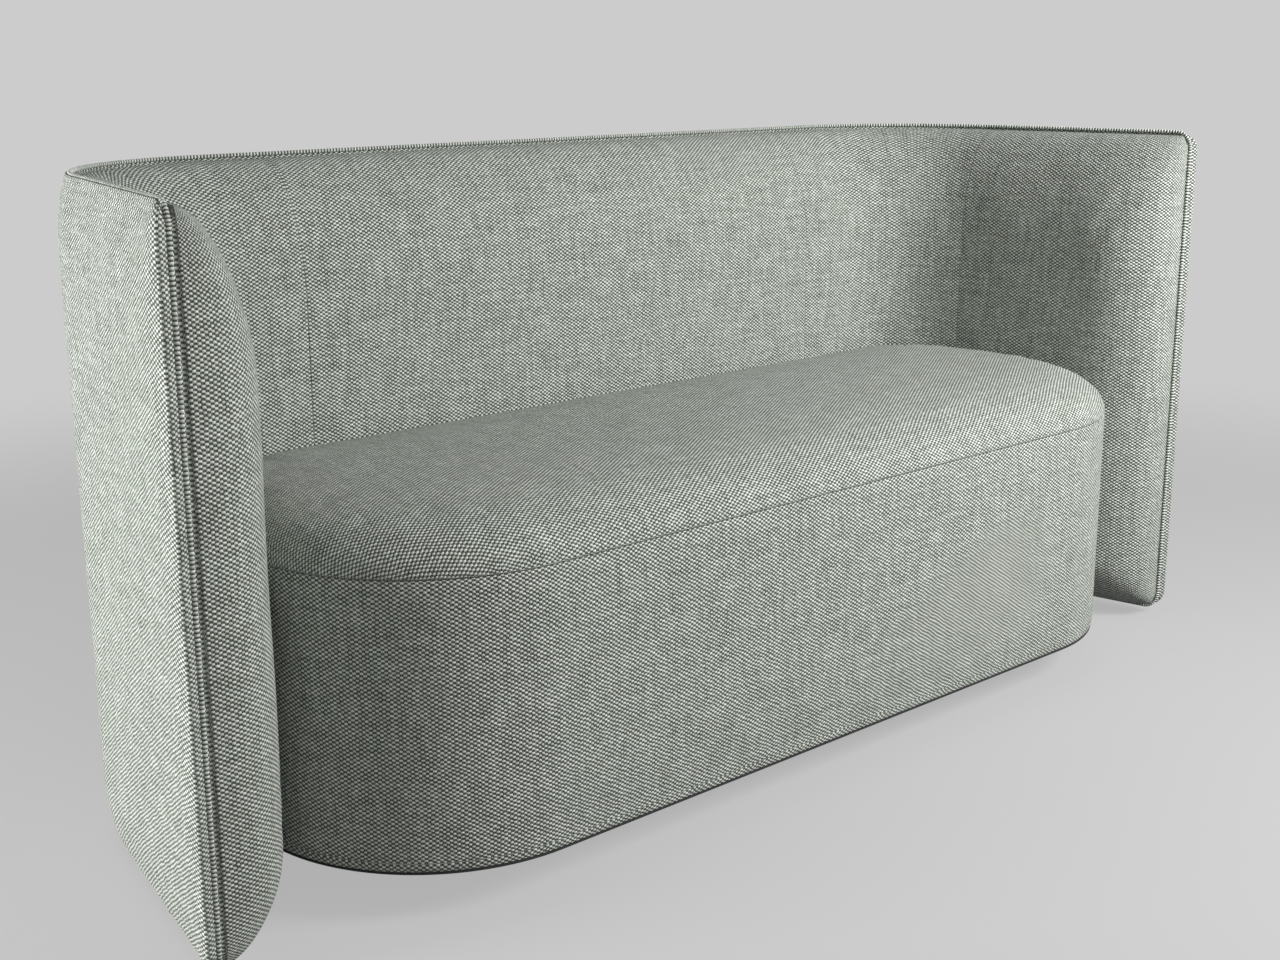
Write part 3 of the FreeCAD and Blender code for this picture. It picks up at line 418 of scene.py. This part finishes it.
def padded_sheets(name, front, back, ease):
    """A closed pad of a front and a back sheet on the same grid, joined by a wall round their four edges,
    and how freely its points may swell: the back sheet and the edge are sewn, the front has the ease
    given."""
    rows, columns = front.shape[:2]
    number = np.arange(rows * columns).reshape(rows, columns)
    rim = np.concatenate([number[0, :-1], number[:-1, -1], number[-1, :0:-1], number[:0:-1, 0]])
    beside, far = np.roll(rim, -1), rows * columns
    wall = np.stack([beside, rim, rim + far, beside + far], -1)
    sheet = grid_faces(rows, columns)
    faces = np.concatenate([sheet, sheet[:, ::-1] + far, wall])
    points = np.concatenate([front.reshape(-1, 3), back.reshape(-1, 3)])
    cloth = np.tile(cloth_map(front).reshape(-1, 2), (2, 1))
    piece = mesh_object(name, points, faces, cloth)
    crease_edges(piece.data, np.isin(np.arange(len(points)), rim))
    freedom = np.zeros((2, rows, columns))
    freedom[0, 1:-1, 1:-1] = ease[1:-1, 1:-1]
    return piece, freedom.ravel()


def crease_edges(mesh, chosen):
    """Keeps the edges between chosen points sharp when the mesh is subdivided."""
    ends = np.empty(2 * len(mesh.edges), np.int32)
    mesh.edges.foreach_get("vertices", ends)
    sharp = chosen[ends.reshape(-1, 2)].all(1)
    mesh.attributes.new("crease_edge", "FLOAT", "EDGE").data.foreach_set("value", sharp.astype(np.float32))


def seat_top_pad():
    """The seat's top as rings round the block: up from the deck, out to the seam, over the rolled edge as
    a quarter ellipse, up the slow crown, and in to a line along the middle, where opposite points are
    merged."""
    roll_up = SEAT_TOP - SEAT_CROWN - SEAT_SEAM - SEAT_SLACK - SEAT_LIP_TOP
    climb = rolled_steps(SEAT_ROLL, roll_up)
    start = SEAT_SEAM + SEAT_LIP_TOP
    rolled = np.stack([FACE_INSET + climb, start + roll_up * share(climb, SEAT_ROLL)], -1)
    level = spread(rolled[-1, 0], REAR_RADIUS - GRID)[1:]
    flat = np.stack([level, np.full(len(level), rolled[-1, 1])], -1)
    below = np.concatenate([np.array(FOAM_UNDER) + (0, DECK), np.array(SEAT_TUCK) + (0, SEAT_SEAM)])
    rings = np.concatenate([below, np.array(SEAT_LIP) + (0, SEAT_SEAM), rolled, flat])
    run = np.linspace(-BLOCK_HALF_RUN, BLOCK_HALF_RUN, BLOCK_STEPS + 1)[:-1]
    plan, outward = block_line(run)
    inset, height = rings[:, 0], rings[:, 1]
    flat_plan = plan - outward * inset[:, None, None]
    crown = SEAT_CROWN * np.sin(np.pi / 2 * np.clip((inset - CROWN_START) / CROWN_REACH, 0, 1)) ** 2
    lift = np.where(height > SEAT_SEAM, crown, 0)
    levels = np.broadcast_to((height + lift)[:, None, None], (*flat_plan.shape[:2], 1))
    shell = np.concatenate([flat_plan, levels], -1)
    middle_x = np.clip(plan[:, 0], -MIDDLE_HALF, MIDDLE_HALF)
    middle = np.stack([middle_x, np.full(len(run), (BLOCK_FRONT + BLOCK_REAR) / 2)], -1)
    inwards = np.linspace(0, 1, MIDDLE_RINGS + 1)[1:, None, None]
    top_edge = shell[-1]
    top = np.concatenate([top_edge[:, :2] * (1 - inwards) + middle * inwards,
                          np.broadcast_to(top_edge[:, 2:], (MIDDLE_RINGS, len(run), 1))], -1)
    top[..., 2] += (SEAT_CROWN - lift[-1]) * np.sin(np.pi / 2 * inwards[..., 0])
    under = np.concatenate([middle, np.full((len(run), 1), DECK)], -1)[None]
    points = np.concatenate([under, shell, top])
    travel = walked(rings)
    unrolled_plan = np.where((height > SEAT_SEAM)[:, None, None],
                             flat_plan + outward * (travel[-1] - travel - (inset[-1] - inset))[:, None, None],
                             flat_plan + outward * (travel[-1] - travel[len(below)]))
    cloth = np.concatenate([middle[None], unrolled_plan, top[..., :2]])
    piece = mesh_object("seat_top", points.reshape(-1, 3), grid_faces(len(points), len(run), wrap=True),
                        cloth.reshape(-1, 2))
    merge(piece)
    return piece, np.clip((coordinates(piece.data)[:, 2] - start) / EDGE_EASE, 0, 1)


def merge(piece):
    """Joins points that lie in the same place, so that rings drawn in to a line are closed there."""
    work = bmesh.new()
    work.from_mesh(piece.data)
    bmesh.ops.remove_doubles(work, verts=work.verts, dist=SAME_PLACE)
    work.to_mesh(piece.data)
    work.free()


def carried_round(name, section):
    """A closed section of insets and heights carried round the block. Its cloth coordinates are the
    length run round the block and the length walked along the section."""
    run = np.linspace(-BLOCK_HALF_RUN, BLOCK_HALF_RUN, BLOCK_STEPS + 1)[:-1]
    plan, outward = block_line(run)
    closed = np.concatenate([section, section[:1]])
    flat = plan - outward * closed[:, 0][:, None, None]
    heights = np.broadcast_to(closed[:, 1][:, None, None], (*flat.shape[:2], 1))
    points = np.concatenate([flat, heights], -1)
    cloth = np.stack(np.broadcast_arrays(run, walked(closed)[:, None]), -1)
    piece = mesh_object(name, points.reshape(-1, 3), grid_faces(len(points), len(run), wrap=True),
                        cloth.reshape(-1, 2))
    merge(piece)
    return piece


def seat_side_band():
    """The seat's side as one closed section: outer face, rounded over at the seam, back down inside, and
    turned under at the bottom edge. All but the face is sewn, and the face moves freely away from its
    edges."""
    face = spread(BLOCK_FOOT + GRID, SEAT_SEAM - GRID / 2)
    rear = spread(SEAT_SEAM - GRID, BLOCK_FOOT + GRID, SIDE_REAR_ROW)
    section = np.concatenate([np.stack([np.full(len(face), FACE_INSET), face], -1),
                              np.array(SIDE_OVER) + (0, SEAT_SEAM),
                              np.stack([np.full(len(rear), SIDE_THICKNESS), rear], -1),
                              np.array(SIDE_UNDER) + (0, BLOCK_FOOT)])
    freedom = np.zeros((len(section), BLOCK_STEPS))
    freedom[:len(face)] = np.clip(np.minimum(face - face[0], face[-1] - face) / EDGE_EASE, 0, 1)[:, None]
    return carried_round("seat_side", section), freedom.ravel()


def outline_path(step):
    """Runs and heights along the screen's outline: top, front corner, front edge, and so on round, as
    straight runs joined by quarter circles, resampled to even steps of that length."""
    half_run, half_rise, radius = SCREEN_END, (PANEL_TOP - PANEL_FOOT) / 2, PANEL_CORNER
    turn = np.linspace(0, np.pi / 2, CORNER_STEPS)
    quarter = np.stack([np.sin(turn), np.cos(turn)], -1)
    centres = [(half_run - radius, half_rise - radius), (half_run - radius, radius - half_rise),
               (radius - half_run, radius - half_rise), (radius - half_run, half_rise - radius)]
    turned = [quarter, quarter[:, ::-1] * (1, -1), -quarter, quarter[:, ::-1] * (-1, 1)]
    corners = np.concatenate([np.array(centre) + radius * arc for centre, arc in zip(centres, turned)])
    loop = np.concatenate([corners, corners[:1]])
    length = walked(loop)
    at = np.linspace(0, length[-1], round(length[-1] / step) + 1)[:-1]
    return np.interp(at, length, loop[:, 0]), np.interp(at, length, loop[:, 1]) + PANEL_MIDDLE


def on_outline(run, height, depth):
    """Points on the flat outline brought round the screen, without the corner's pull, which it has
    already."""
    plan, outward = screen_line(run)
    points = np.concatenate([plan + outward * depth[..., None], height[..., None]], -1)
    return points, np.concatenate([outward, np.zeros((*run.shape, 1))], -1)


def directions(points):
    """Unit directions along a closed line of points: each point's two neighbours, one from the other."""
    ahead = np.roll(points, -1, 0) - np.roll(points, 1, 0)
    return ahead / np.linalg.norm(ahead, axis=1, keepdims=True)


def perimeter_cord():
    """The covered cord in the perimeter seam: a circle carried along the outline, BEAD_RINGS to a bead, whose
    radius swells as a cosine, one bead to each float of the cloth pulled tight over the cord. The cloth
    coordinates keep a pale float on each bead: half a yarn's width round it, and the bead's phase along."""
    run, height = outline_path(BEAD / BEAD_RINGS)
    front_part = front_share(run, height)
    run, height = moved_in(run, height, TOP_CORD + (FRONT_CORD - TOP_CORD) * front_part)
    middle, outward = on_outline(run, height, np.full(len(run), CORD_OUT))
    side = np.cross(directions(middle), outward)
    angle = np.linspace(0, 2 * np.pi, CORD_SIDES + 1)[:-1]
    phase = np.arange(len(run) + 1) * 2 * np.pi / BEAD_RINGS
    radius = CORD_RADIUS * (1 + BEAD_SWELL * np.cos(phase[:-1]))
    ring = outward[:, None] * np.cos(angle)[:, None] + side[:, None] * np.sin(angle)[:, None]
    points = middle[:, None] + radius[:, None, None] * ring
    points = np.concatenate([points, points[:1]])
    around, along = YARN_ACROSS / 4 * np.sin(angle), phase[:, None] / np.pi * YARN_ALONG
    cloth = np.stack(np.broadcast_arrays(around, along), -1)
    piece = mesh_object("perimeter_cord", points.reshape(-1, 3),
                        grid_faces(len(points), len(angle), wrap=True), cloth.reshape(-1, 2))
    merge(piece)
    return piece


def swell_together(pads):
    """Blows up every pad at once: Cloth with pressure and no gravity on each, its sewn points held,
    stepped through the frames. A point moves at most its freedom times its pad's cap, approached as a
    hyperbolic tangent, and the Cloth is taken off."""
    scene = bpy.context.scene
    rest = {}
    for piece, freedom, cap in pads:
        group = piece.vertex_groups.new(name="sewn")
        group.add(np.flatnonzero(freedom <= 0).tolist(), 1.0, "REPLACE")
        cloth = piece.modifiers.new("swell", "CLOTH")
        cloth.settings.vertex_group_mass = group.name
        cloth.settings.use_pressure = True
        cloth.settings.uniform_pressure_force = SWELL_PRESSURE
        cloth.settings.effector_weights.gravity = 0
        cloth.settings.quality = SWELL_QUALITY
        cloth.point_cache.frame_end = SWELL_FRAMES
        rest[piece.name] = coordinates(piece.data)
    for step in range(1, SWELL_FRAMES + 1):
        scene.frame_set(step)
    view = bpy.context.evaluated_depsgraph_get()
    swollen = {piece.name: coordinates(piece.evaluated_get(view).data) for piece, freedom, cap in pads}
    for piece, freedom, cap in pads:
        moved = swollen[piece.name] - rest[piece.name]
        far = np.linalg.norm(moved, axis=1, keepdims=True)
        limit = np.maximum(cap * freedom, TINY)[:, None]
        held = limit * np.tanh(far / limit) / np.maximum(far, TINY)
        piece.modifiers.clear()
        piece.vertex_groups.clear()
        piece.data.vertices.foreach_set("co", (rest[piece.name] + moved * held).astype(np.float32).ravel())
        piece.data.update()
    scene.frame_set(1)


def coordinates(mesh):
    """A mesh's points as an array of rows."""
    flat = np.empty(3 * len(mesh.vertices), np.float32)
    mesh.vertices.foreach_get("co", flat)
    return flat.reshape(-1, 3).astype(float)


class Wire:
    """A shader socket that does arithmetic: an expression on it adds the Math nodes it needs."""

    def __init__(self, tree, socket):
        self.tree, self.socket = tree, socket

    def math(self, operation, *values):
        """The result of a Math node on these wires or numbers."""
        node = self.tree.nodes.new("ShaderNodeMath")
        node.operation = operation
        for socket, value in zip(node.inputs, values):
            plug(self.tree, socket, value)
        return Wire(self.tree, node.outputs[0])

    def __add__(self, other):
        return self.math("ADD", self, other)

    def __radd__(self, other):
        return self.math("ADD", other, self)

    def __sub__(self, other):
        return self.math("SUBTRACT", self, other)

    def __rsub__(self, other):
        return self.math("SUBTRACT", other, self)

    def __mul__(self, other):
        return self.math("MULTIPLY", self, other)

    def __rmul__(self, other):
        return self.math("MULTIPLY", other, self)

    def __truediv__(self, other):
        return self.math("DIVIDE", self, other)

    def __rtruediv__(self, other):
        return self.math("DIVIDE", other, self)

    def cosine(self):
        return self.math("COSINE", self)

    def floor(self):
        return self.math("FLOOR", self)

    def greater(self, other):
        return self.math("MAXIMUM", self, other)

    def clamped(self):
        return self.math("MINIMUM", self.greater(0), 1)

    def eased(self):
        """A smooth step: flat at 0 and at 1."""
        return self * self * (3 - 2 * self)


def plug(tree, socket, value):
    """Links a wire to a socket, or sets the socket's own value."""
    if isinstance(value, Wire):
        tree.links.new(value.socket, socket)
    else:
        socket.default_value = value


class Graph:
    """The nodes of a material or of the world. One method adds any node from its type, its settings and its
    sockets' values, and gives the output asked for."""

    def __init__(self, tree):
        self.tree = tree

    def node(self, kind, settings=None, sockets=None, output=0):
        node = self.tree.nodes.new("ShaderNode" + kind)
        for key, value in (settings or {}).items():
            setattr(node, key, value)
        for key, value in (sockets or {}).items():
            plug(self.tree, node.inputs[key], value)
        return Wire(self.tree, node.outputs[output]) if node.outputs else None

    def blend(self, factor, first, second):
        """A colour between two, by a factor."""
        return self.node("Mix", {"data_type": "RGBA"}, {0: factor, 6: first, 7: second}, 2)

    def sight(self):
        """1 for a camera, glossy or transmission ray, which sees the plain background, and 0 for any
        other."""
        camera, glossy, clear = [self.node("LightPath", {}, {}, f"Is {kind} Ray")
                                 for kind in ("Camera", "Glossy", "Transmission")]
        return camera.greater(glossy).greater(clear)


class Finish(Graph):
    """A material in the making: its Principled shader takes constants on its own sockets."""

    def __init__(self, name, **constants):
        self.material = bpy.data.materials.new(name)
        self.material.use_nodes = True
        super().__init__(self.material.node_tree)
        self.shader = self.tree.nodes["Principled BSDF"]
        for socket, value in constants.items():
            self.set(socket.replace("_", " ").title(), value)

    def set(self, socket, value):
        plug(self.tree, self.shader.inputs[socket], value)

    def bump(self, height, strength, distance):
        sockets = {"Height": height, "Strength": strength, "Distance": distance}
        self.set("Normal", self.node("Bump", {}, sockets))


def rgb(red, green, blue):
    """A full colour from its three parts."""
    return red, green, blue, 1


def grey(tone):
    """A neutral colour of one tone."""
    return rgb(tone, tone, tone)


# Tones from dark to pale: the weave's floats and gaps, whose dark tones are the darker yarn with painted
# shade between the yarns, then the finishes of what lies inside and underneath
PALE_FLOATS = rgb(0.56, 0.60, 0.535), rgb(0.88, 0.92, 0.865)
# The gaps' tones are the darker yarn with painted shade between the yarns; the darkest end is painted shade
DARK_YARN_AND_GAP_SHADE = rgb(0.010, 0.013, 0.008), rgb(0.135, 0.150, 0.120)
SHEEN_TINT = rgb(0.86, 0.92, 0.86)
BIRCH_TONES = rgb(0.45, 0.30, 0.16), rgb(0.78, 0.62, 0.42)
STAIN_TONES = rgb(0.010, 0.010, 0.011), rgb(0.032, 0.031, 0.030)
FOOT_PAD_TONES = grey(0.012), grey(0.035)
STEM_TONES = rgb(0.48, 0.49, 0.50), rgb(0.70, 0.71, 0.72)
ZINC_TONES = rgb(0.46, 0.47, 0.49), rgb(0.72, 0.73, 0.74)
DUST_TONES = rgb(0.008, 0.008, 0.009), rgb(0.04, 0.04, 0.042)
# Grain of the weave: scales of its wander, slubs and fibres, and the stretch of its streaks along each yarn
WANDER_SCALE, SLUB_SCALE, FIBRE_SCALE = 55, 240, 1500
WEFT_STREAK, WARP_STREAK = (0.06, 0.45), (0.45, 0.05)
SLUB_COVER, STREAK_COVER, COVER_SOFTNESS = 0.45, 0.25, 0.80
FLOAT_TONE, SLUB_TONE, STREAK_TONE, TONE_START = 0.60, 0.9, 0.25, 0.25
FIBRE_RELIEF, WEAVE_STRENGTH, WEAVE_HEIGHT = 0.35, 0.75, 0.0011
# Height where a foot's pad ends and its stem starts, and how sharp that change is
FOOT_PAD_TOP, STEM_EDGE = 0.0085, 4000


def sage_weave(name, stray, bias):
    """Chunky plain weave on the cloth's own coordinates. The product of two cosines, one per yarn
    direction, is 1 on a pale float and -1 in a dark gap, staggered from row to row. Each float has a tone
    of its own, long thin noise makes streaks along both yarns, stray is how many yarns the pattern
    wanders by, and a larger bias leaves narrower gaps. A gap's colour is the darker yarn with painted
    shade between the yarns, and the painted shade is deepest between the columns of floats."""
    finish = Finish(name, roughness=0.92, sheen_weight=0.16, sheen_roughness=0.45)
    finish.set("Sheen Tint", SHEEN_TINT)
    finish.set("Specular IOR Level", 0.2)
    flat = {"noise_dimensions": "2D"}
    place = finish.node("UVMap", {"uv_map": "cloth"})
    wander = finish.node("TexNoise", flat, {"Vector": place, "Scale": WANDER_SCALE, "Detail": 2})
    across = finish.node("SeparateXYZ", {}, {0: place}) / YARN_ACROSS + stray * wander
    along = finish.node("SeparateXYZ", {}, {0: place}, 1) / YARN_ALONG + stray * wander
    relief = (across * math.pi).cosine() * (along * math.pi).cosine()
    slub = finish.node("TexNoise", flat, {"Vector": place, "Scale": SLUB_SCALE, "Detail": 3})
    cell = finish.node("CombineXYZ", {}, {0: (across + 0.5).floor(), 1: (along + 0.5).floor()})
    float_tone = finish.node("TexWhiteNoise", flat, {"Vector": cell})
    weft, warp = [finish.node("CombineXYZ", {}, {0: wide * across, 1: long * along})
                  for wide, long in (WEFT_STREAK, WARP_STREAK)]
    streak = (finish.node("TexNoise", flat, {"Vector": weft, "Scale": 1, "Detail": 1})
              + finish.node("TexNoise", flat, {"Vector": warp, "Scale": 1, "Detail": 1}) - 1)
    cover = ((relief + bias + SLUB_COVER * slub + STREAK_COVER * streak) / COVER_SOFTNESS).clamped()
    tone = (FLOAT_TONE * float_tone + SLUB_TONE * slub + STREAK_TONE * streak - TONE_START).clamped()
    pale = finish.blend(tone, *PALE_FLOATS)
    # Painted shade: the gap colour is darkest between the columns of floats, where the yarns shade each other
    column = 0.5 + 0.5 * (across * (2 * math.pi)).cosine()
    deep = finish.blend(column, *DARK_YARN_AND_GAP_SHADE)
    finish.set("Base Color", finish.blend(cover.eased(), deep, pale))
    fibre = finish.node("TexNoise", flat, {"Vector": place, "Scale": FIBRE_SCALE, "Detail": 2})
    finish.bump(relief + FIBRE_RELIEF * fibre, WEAVE_STRENGTH, WEAVE_HEIGHT)
    return finish.material


def birch_plywood():
    """Birch plywood: long grain streaks on the faces, with alternate pale and brown layers in the
    thickness."""
    finish = Finish("birch_plywood", roughness=0.6)
    place = finish.node("TexCoord", {}, {}, "Object")
    streaks = finish.node("Mapping", {}, {"Vector": place, "Scale": (6, 60, 60)})
    grain = finish.node("TexNoise", {}, {"Vector": streaks, "Scale": 4, "Detail": 6, "Distortion": 0.4})
    layers = finish.node("TexWave", {"bands_direction": "DIAGONAL"}, {"Vector": place, "Scale": 95}, 1)
    mixed = (0.75 * grain + 0.25 * layers).clamped()
    finish.set("Base Color", finish.blend(mixed, *BIRCH_TONES))
    finish.set("Roughness", 0.5 + 0.25 * grain)
    finish.bump(grain, strength=0.25, distance=0.0006)
    return finish.material


def black_plinth():
    """Black-stained board: open grain that shows in gloss and height more than in colour."""
    finish = Finish("black_plinth", roughness=0.5)
    place = finish.node("TexCoord", {}, {}, "Object")
    streaks = finish.node("Mapping", {}, {"Vector": place, "Scale": (3, 40, 40)})
    grain = finish.node("TexNoise", {}, {"Vector": streaks, "Scale": 6, "Detail": 5})
    finish.set("Base Color", finish.blend(grain, *STAIN_TONES))
    finish.set("Roughness", 0.38 + 0.3 * grain)
    finish.bump(grain, strength=0.3, distance=0.0004)
    return finish.material


def levelling_foot():
    """Black moulded pad below, bright zinc stem above: the change is at the pad's top, by height."""
    finish = Finish("levelling_foot")
    place = finish.node("TexCoord", {}, {}, "Object")
    height = finish.node("SeparateXYZ", {}, {0: place}, 2)
    stem = ((height - FOOT_PAD_TOP) * STEM_EDGE).clamped()
    mottle = finish.node("TexNoise", {}, {"Vector": place, "Scale": 260, "Detail": 4})
    pad = finish.blend(mottle, *FOOT_PAD_TONES)
    zinc = finish.blend(mottle, *STEM_TONES)
    finish.set("Base Color", finish.blend(stem, pad, zinc))
    finish.set("Metallic", stem)
    finish.set("Roughness", 0.55 - 0.2 * stem + 0.15 * mottle)
    finish.bump(mottle, strength=0.2, distance=0.0003)
    return finish.material


def zinc_steel():
    """Zinc-plated steel: a mottled crystal pattern in tone and gloss."""
    finish = Finish("zinc_steel", metallic=1.0)
    place = finish.node("TexCoord", {}, {}, "Object")
    crystal = finish.node("TexVoronoi", {}, {"Vector": place, "Scale": 320}, 1)
    mottle = finish.node("TexNoise", {}, {"Vector": place, "Scale": 150, "Detail": 4})
    finish.set("Base Color", finish.blend(mottle, *ZINC_TONES))
    finish.set("Roughness", 0.28 + 0.25 * mottle)
    finish.bump(finish.node("RGBToBW", {}, {0: crystal}), strength=0.08, distance=0.0002)
    return finish.material


def dust_cloth():
    """Black spun cloth: matted fibres with a grid of pressed dots."""
    finish = Finish("dust_cloth", roughness=0.95)
    place = finish.node("TexCoord", {}, {}, "Object")
    fibres = finish.node("TexNoise", {}, {"Vector": place, "Scale": 700, "Detail": 5, "Distortion": 1.2})
    dots = finish.node("TexVoronoi", {}, {"Vector": place, "Scale": 420, "Randomness": 0.05})
    finish.set("Base Color", finish.blend(fibres, *DUST_TONES))
    finish.bump(fibres + dots, strength=0.4, distance=0.0004)
    return finish.material


def dress(piece, material, replaced=()):
    """Gives a new piece its material and its body, and hides the CAD nodes that it stands for."""
    piece.data.materials.append(material)
    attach(piece, SOFA)
    if replaced:
        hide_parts(*replaced)


def smooth(piece):
    """One Catmull-Clark subdivision, the same in the view and in the render."""
    finer = piece.modifiers.new("smooth", "SUBSURF")
    finer.levels = finer.render_levels = 1


# Upholstery
fabric = sage_weave("sage_weave", stray=0.8, bias=0.10)
cord_fabric = sage_weave("sage_cord", stray=0.15, bias=0.40)
dust = dust_cloth()
back_sheets = inner_panel_grid(SEAM_HALF_GAP - PANEL_SEAM, PANEL_SEAM - SEAM_HALF_GAP)
back_pad = padded_sheets("back_inner_pad", *back_sheets)
pads = [(*back_pad, BACK_SWELL, ("back_inner_cover", "back_foam"), INNER_FILL)]
for side, sign in (("left", -1), ("right", 1)):
    mirror = np.array([sign, 1, 1])
    for panel, start, end in (("corner", PANEL_SEAM + SEAM_HALF_GAP, ARM_START - SEAM_HALF_GAP),
                              ("arm", ARM_START + SEAM_HALF_GAP, PAD_END)):
        front, rear, ease = inner_panel_grid(start, end)
        pad = padded_sheets(f"{panel}_inner_pad_{side}", front * mirror, rear * mirror, ease)
        panel_nodes = (f"{panel}_inner_cover_{side}", f"{panel}_foam_{side}")
        pads.append((*pad, PANEL_SWELL, panel_nodes, INNER_FILL))
outer_nodes = ["outer_cover", "back_outer_padding"] + [
    f"{panel}_outer_padding_{side}" for panel in ("corner", "arm") for side in ("left", "right")]
pads.append((*padded_sheets("outer_pad", *outer_grid()), OUTER_SWELL, outer_nodes, OUTER_FILL))
pads.append((*seat_top_pad(), SEAT_SWELL, ("seat_top_cover", "seat_foam"), SEAT_FILL))
pads.append((*seat_side_band(), SIDE_SWELL, ("seat_side_cover", "seat_side_padding"), SIDE_FILL))
swell_together([pad[:3] for pad in pads])
for pad, freedom, cap, nodes, fill in pads:
    smooth(pad)
    dress(pad, fabric, nodes)

dress(perimeter_cord(), cord_fabric, ["perimeter_welt"])
# Painted shadow: a black strip in the dust cloth along the block's lower edge, for the dark shadow line there
painted_shadow_strip = carried_round("seat_painted_shadow_strip", np.array(PAINTED_SHADOW_STRIP) + (0, BLOCK_FOOT))
dress(painted_shadow_strip, dust)

# Finishes of the CAD nodes that stay
NODE_FINISHES = (
    (("board_plates", "deck_screws", "foot_nuts", "plinth_screws", "tie_bolt"), zinc_steel(), "fixings"),
    (("underside_cloth",), dust, "underside_cloth"),
    (("plinth_rail", "plinth_end"), black_plinth(), "plinth"),
    (("plinth_foot", "screen_foot"), levelling_foot(), "feet"),
    (("arm_board", "back_board", "corner_board", "seat_"), birch_plywood(), "plywood"),
)
for node in bpy.context.scene.objects:
    if "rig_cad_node" not in node or node.hide_render:
        continue
    for prefixes, finish, slot in NODE_FINISHES:
        if node["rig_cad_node"].startswith(prefixes):
            node.data.materials.clear()
            node.data.materials.append(finish)
            break

# Floor, background and lamps: tones as seen, distances in metres
BACKGROUND, FLOOR_TONE, FLOOR_GLOW = grey(0.604), grey(0.16), grey(0.43)
FLOOR_RADIUS, FLOOR_SIDES, FLOOR_END, FLOOR_FADE = 9, 96, 3.0, 1.6
AROUND_STRENGTH = 0.16


def studio_floor():
    """A pale floor that fades into the background with distance: a disc's material turns see-through
    outwards."""
    bpy.ops.mesh.primitive_circle_add(vertices=FLOOR_SIDES, radius=FLOOR_RADIUS, fill_type="NGON",
                                      location=(0, 0, 0))
    floor = bpy.context.object
    floor.name = "studio_floor"
    finish = Finish("studio_floor", roughness=0.9)
    finish.set("Base Color", FLOOR_TONE)
    finish.set("Specular IOR Level", 0.0)
    finish.set("Emission Color", finish.blend(finish.sight(), grey(0), FLOOR_GLOW))
    finish.set("Emission Strength", 1)
    place = finish.node("TexCoord", {}, {}, "Object")
    distance = finish.node("VectorMath", {"operation": "LENGTH"}, {0: place}, "Value")
    finish.set("Alpha", ((FLOOR_END - distance) / FLOOR_FADE).clamped().eased())
    floor.data.materials.append(finish.material)


def studio_world():
    """Soft even light from all round; a camera, glossy or transmission ray sees the plain background
    instead."""
    world = bpy.data.worlds.new("studio")
    bpy.context.scene.world = world
    world.use_nodes = True
    world.node_tree.nodes.clear()
    studio = Graph(world.node_tree)
    light = studio.node("Background", {}, {"Color": grey(1), "Strength": AROUND_STRENGTH})
    backdrop = studio.node("Background", {}, {"Color": BACKGROUND, "Strength": 1})
    either = studio.node("MixShader", {}, {0: studio.sight(), 1: light, 2: backdrop})
    studio.node("OutputWorld", {}, {"Surface": either})


def softbox(name, place, target, size, watts):
    """A large square lamp that faces its target."""
    lamp = bpy.data.lights.new(name, "AREA")
    lamp.size, lamp.energy = size, watts
    holder = bpy.data.objects.new(name, lamp)
    holder.location = place
    holder.rotation_euler = (Vector(target) - Vector(place)).to_track_quat("-Z", "Y").to_euler()
    bpy.context.scene.collection.objects.link(holder)


studio_floor()
studio_world()
softbox("key_right", place=(0.95, -1.7, 1.4), target=(0.15, 0.0, 0.42), size=0.8, watts=54)
softbox("fill_front", place=(-1.6, -2.3, 1.0), target=(-0.4, -0.3, 0.4), size=1.0, watts=9)
softbox("side_left", place=(-2.75, 0.55, 0.55), target=(-0.87, -0.1, 0.45), size=0.7, watts=66)
bpy.context.scene.view_settings.view_transform = "Standard"

# Camera at the photograph's viewing angle, from a fit of its place, turn and lens
IMAGE_WIDTH, IMAGE_HEIGHT = 1280, 960
FOCAL_PIXELS, SENSOR_WIDTH = 1691.7, 36
OPTICAL_CENTRE = (646.9, 460.3)
CAMERA_PLACE = (-1.5698, -1.6804, 0.9342)
CAMERA_YAW, CAMERA_PITCH, CAMERA_ROLL = 0.7299, 0.2417, -0.0026


def photo_camera():
    """The camera's axes from its yaw, downward pitch and roll; its shift puts the optical centre in place."""
    forward = Vector((math.sin(CAMERA_YAW) * math.cos(CAMERA_PITCH),
                      math.cos(CAMERA_YAW) * math.cos(CAMERA_PITCH), -math.sin(CAMERA_PITCH)))
    level = Vector((math.cos(CAMERA_YAW), -math.sin(CAMERA_YAW), 0))
    upright = level.cross(forward)
    right = level * math.cos(CAMERA_ROLL) + upright * math.sin(CAMERA_ROLL)
    camera = bpy.data.objects.new("camera", bpy.data.cameras.new("camera"))
    axes = Matrix((right, right.cross(forward), -forward)).transposed()
    camera.matrix_world = Matrix.Translation(CAMERA_PLACE) @ axes.to_4x4()
    camera.data.sensor_fit, camera.data.sensor_width = "HORIZONTAL", SENSOR_WIDTH
    camera.data.lens = SENSOR_WIDTH * FOCAL_PIXELS / IMAGE_WIDTH
    camera.data.shift_x = (IMAGE_WIDTH / 2 - OPTICAL_CENTRE[0]) / IMAGE_WIDTH
    camera.data.shift_y = (OPTICAL_CENTRE[1] - IMAGE_HEIGHT / 2) / IMAGE_WIDTH
    bpy.context.scene.collection.objects.link(camera)
    bpy.context.scene.camera = camera


photo_camera()
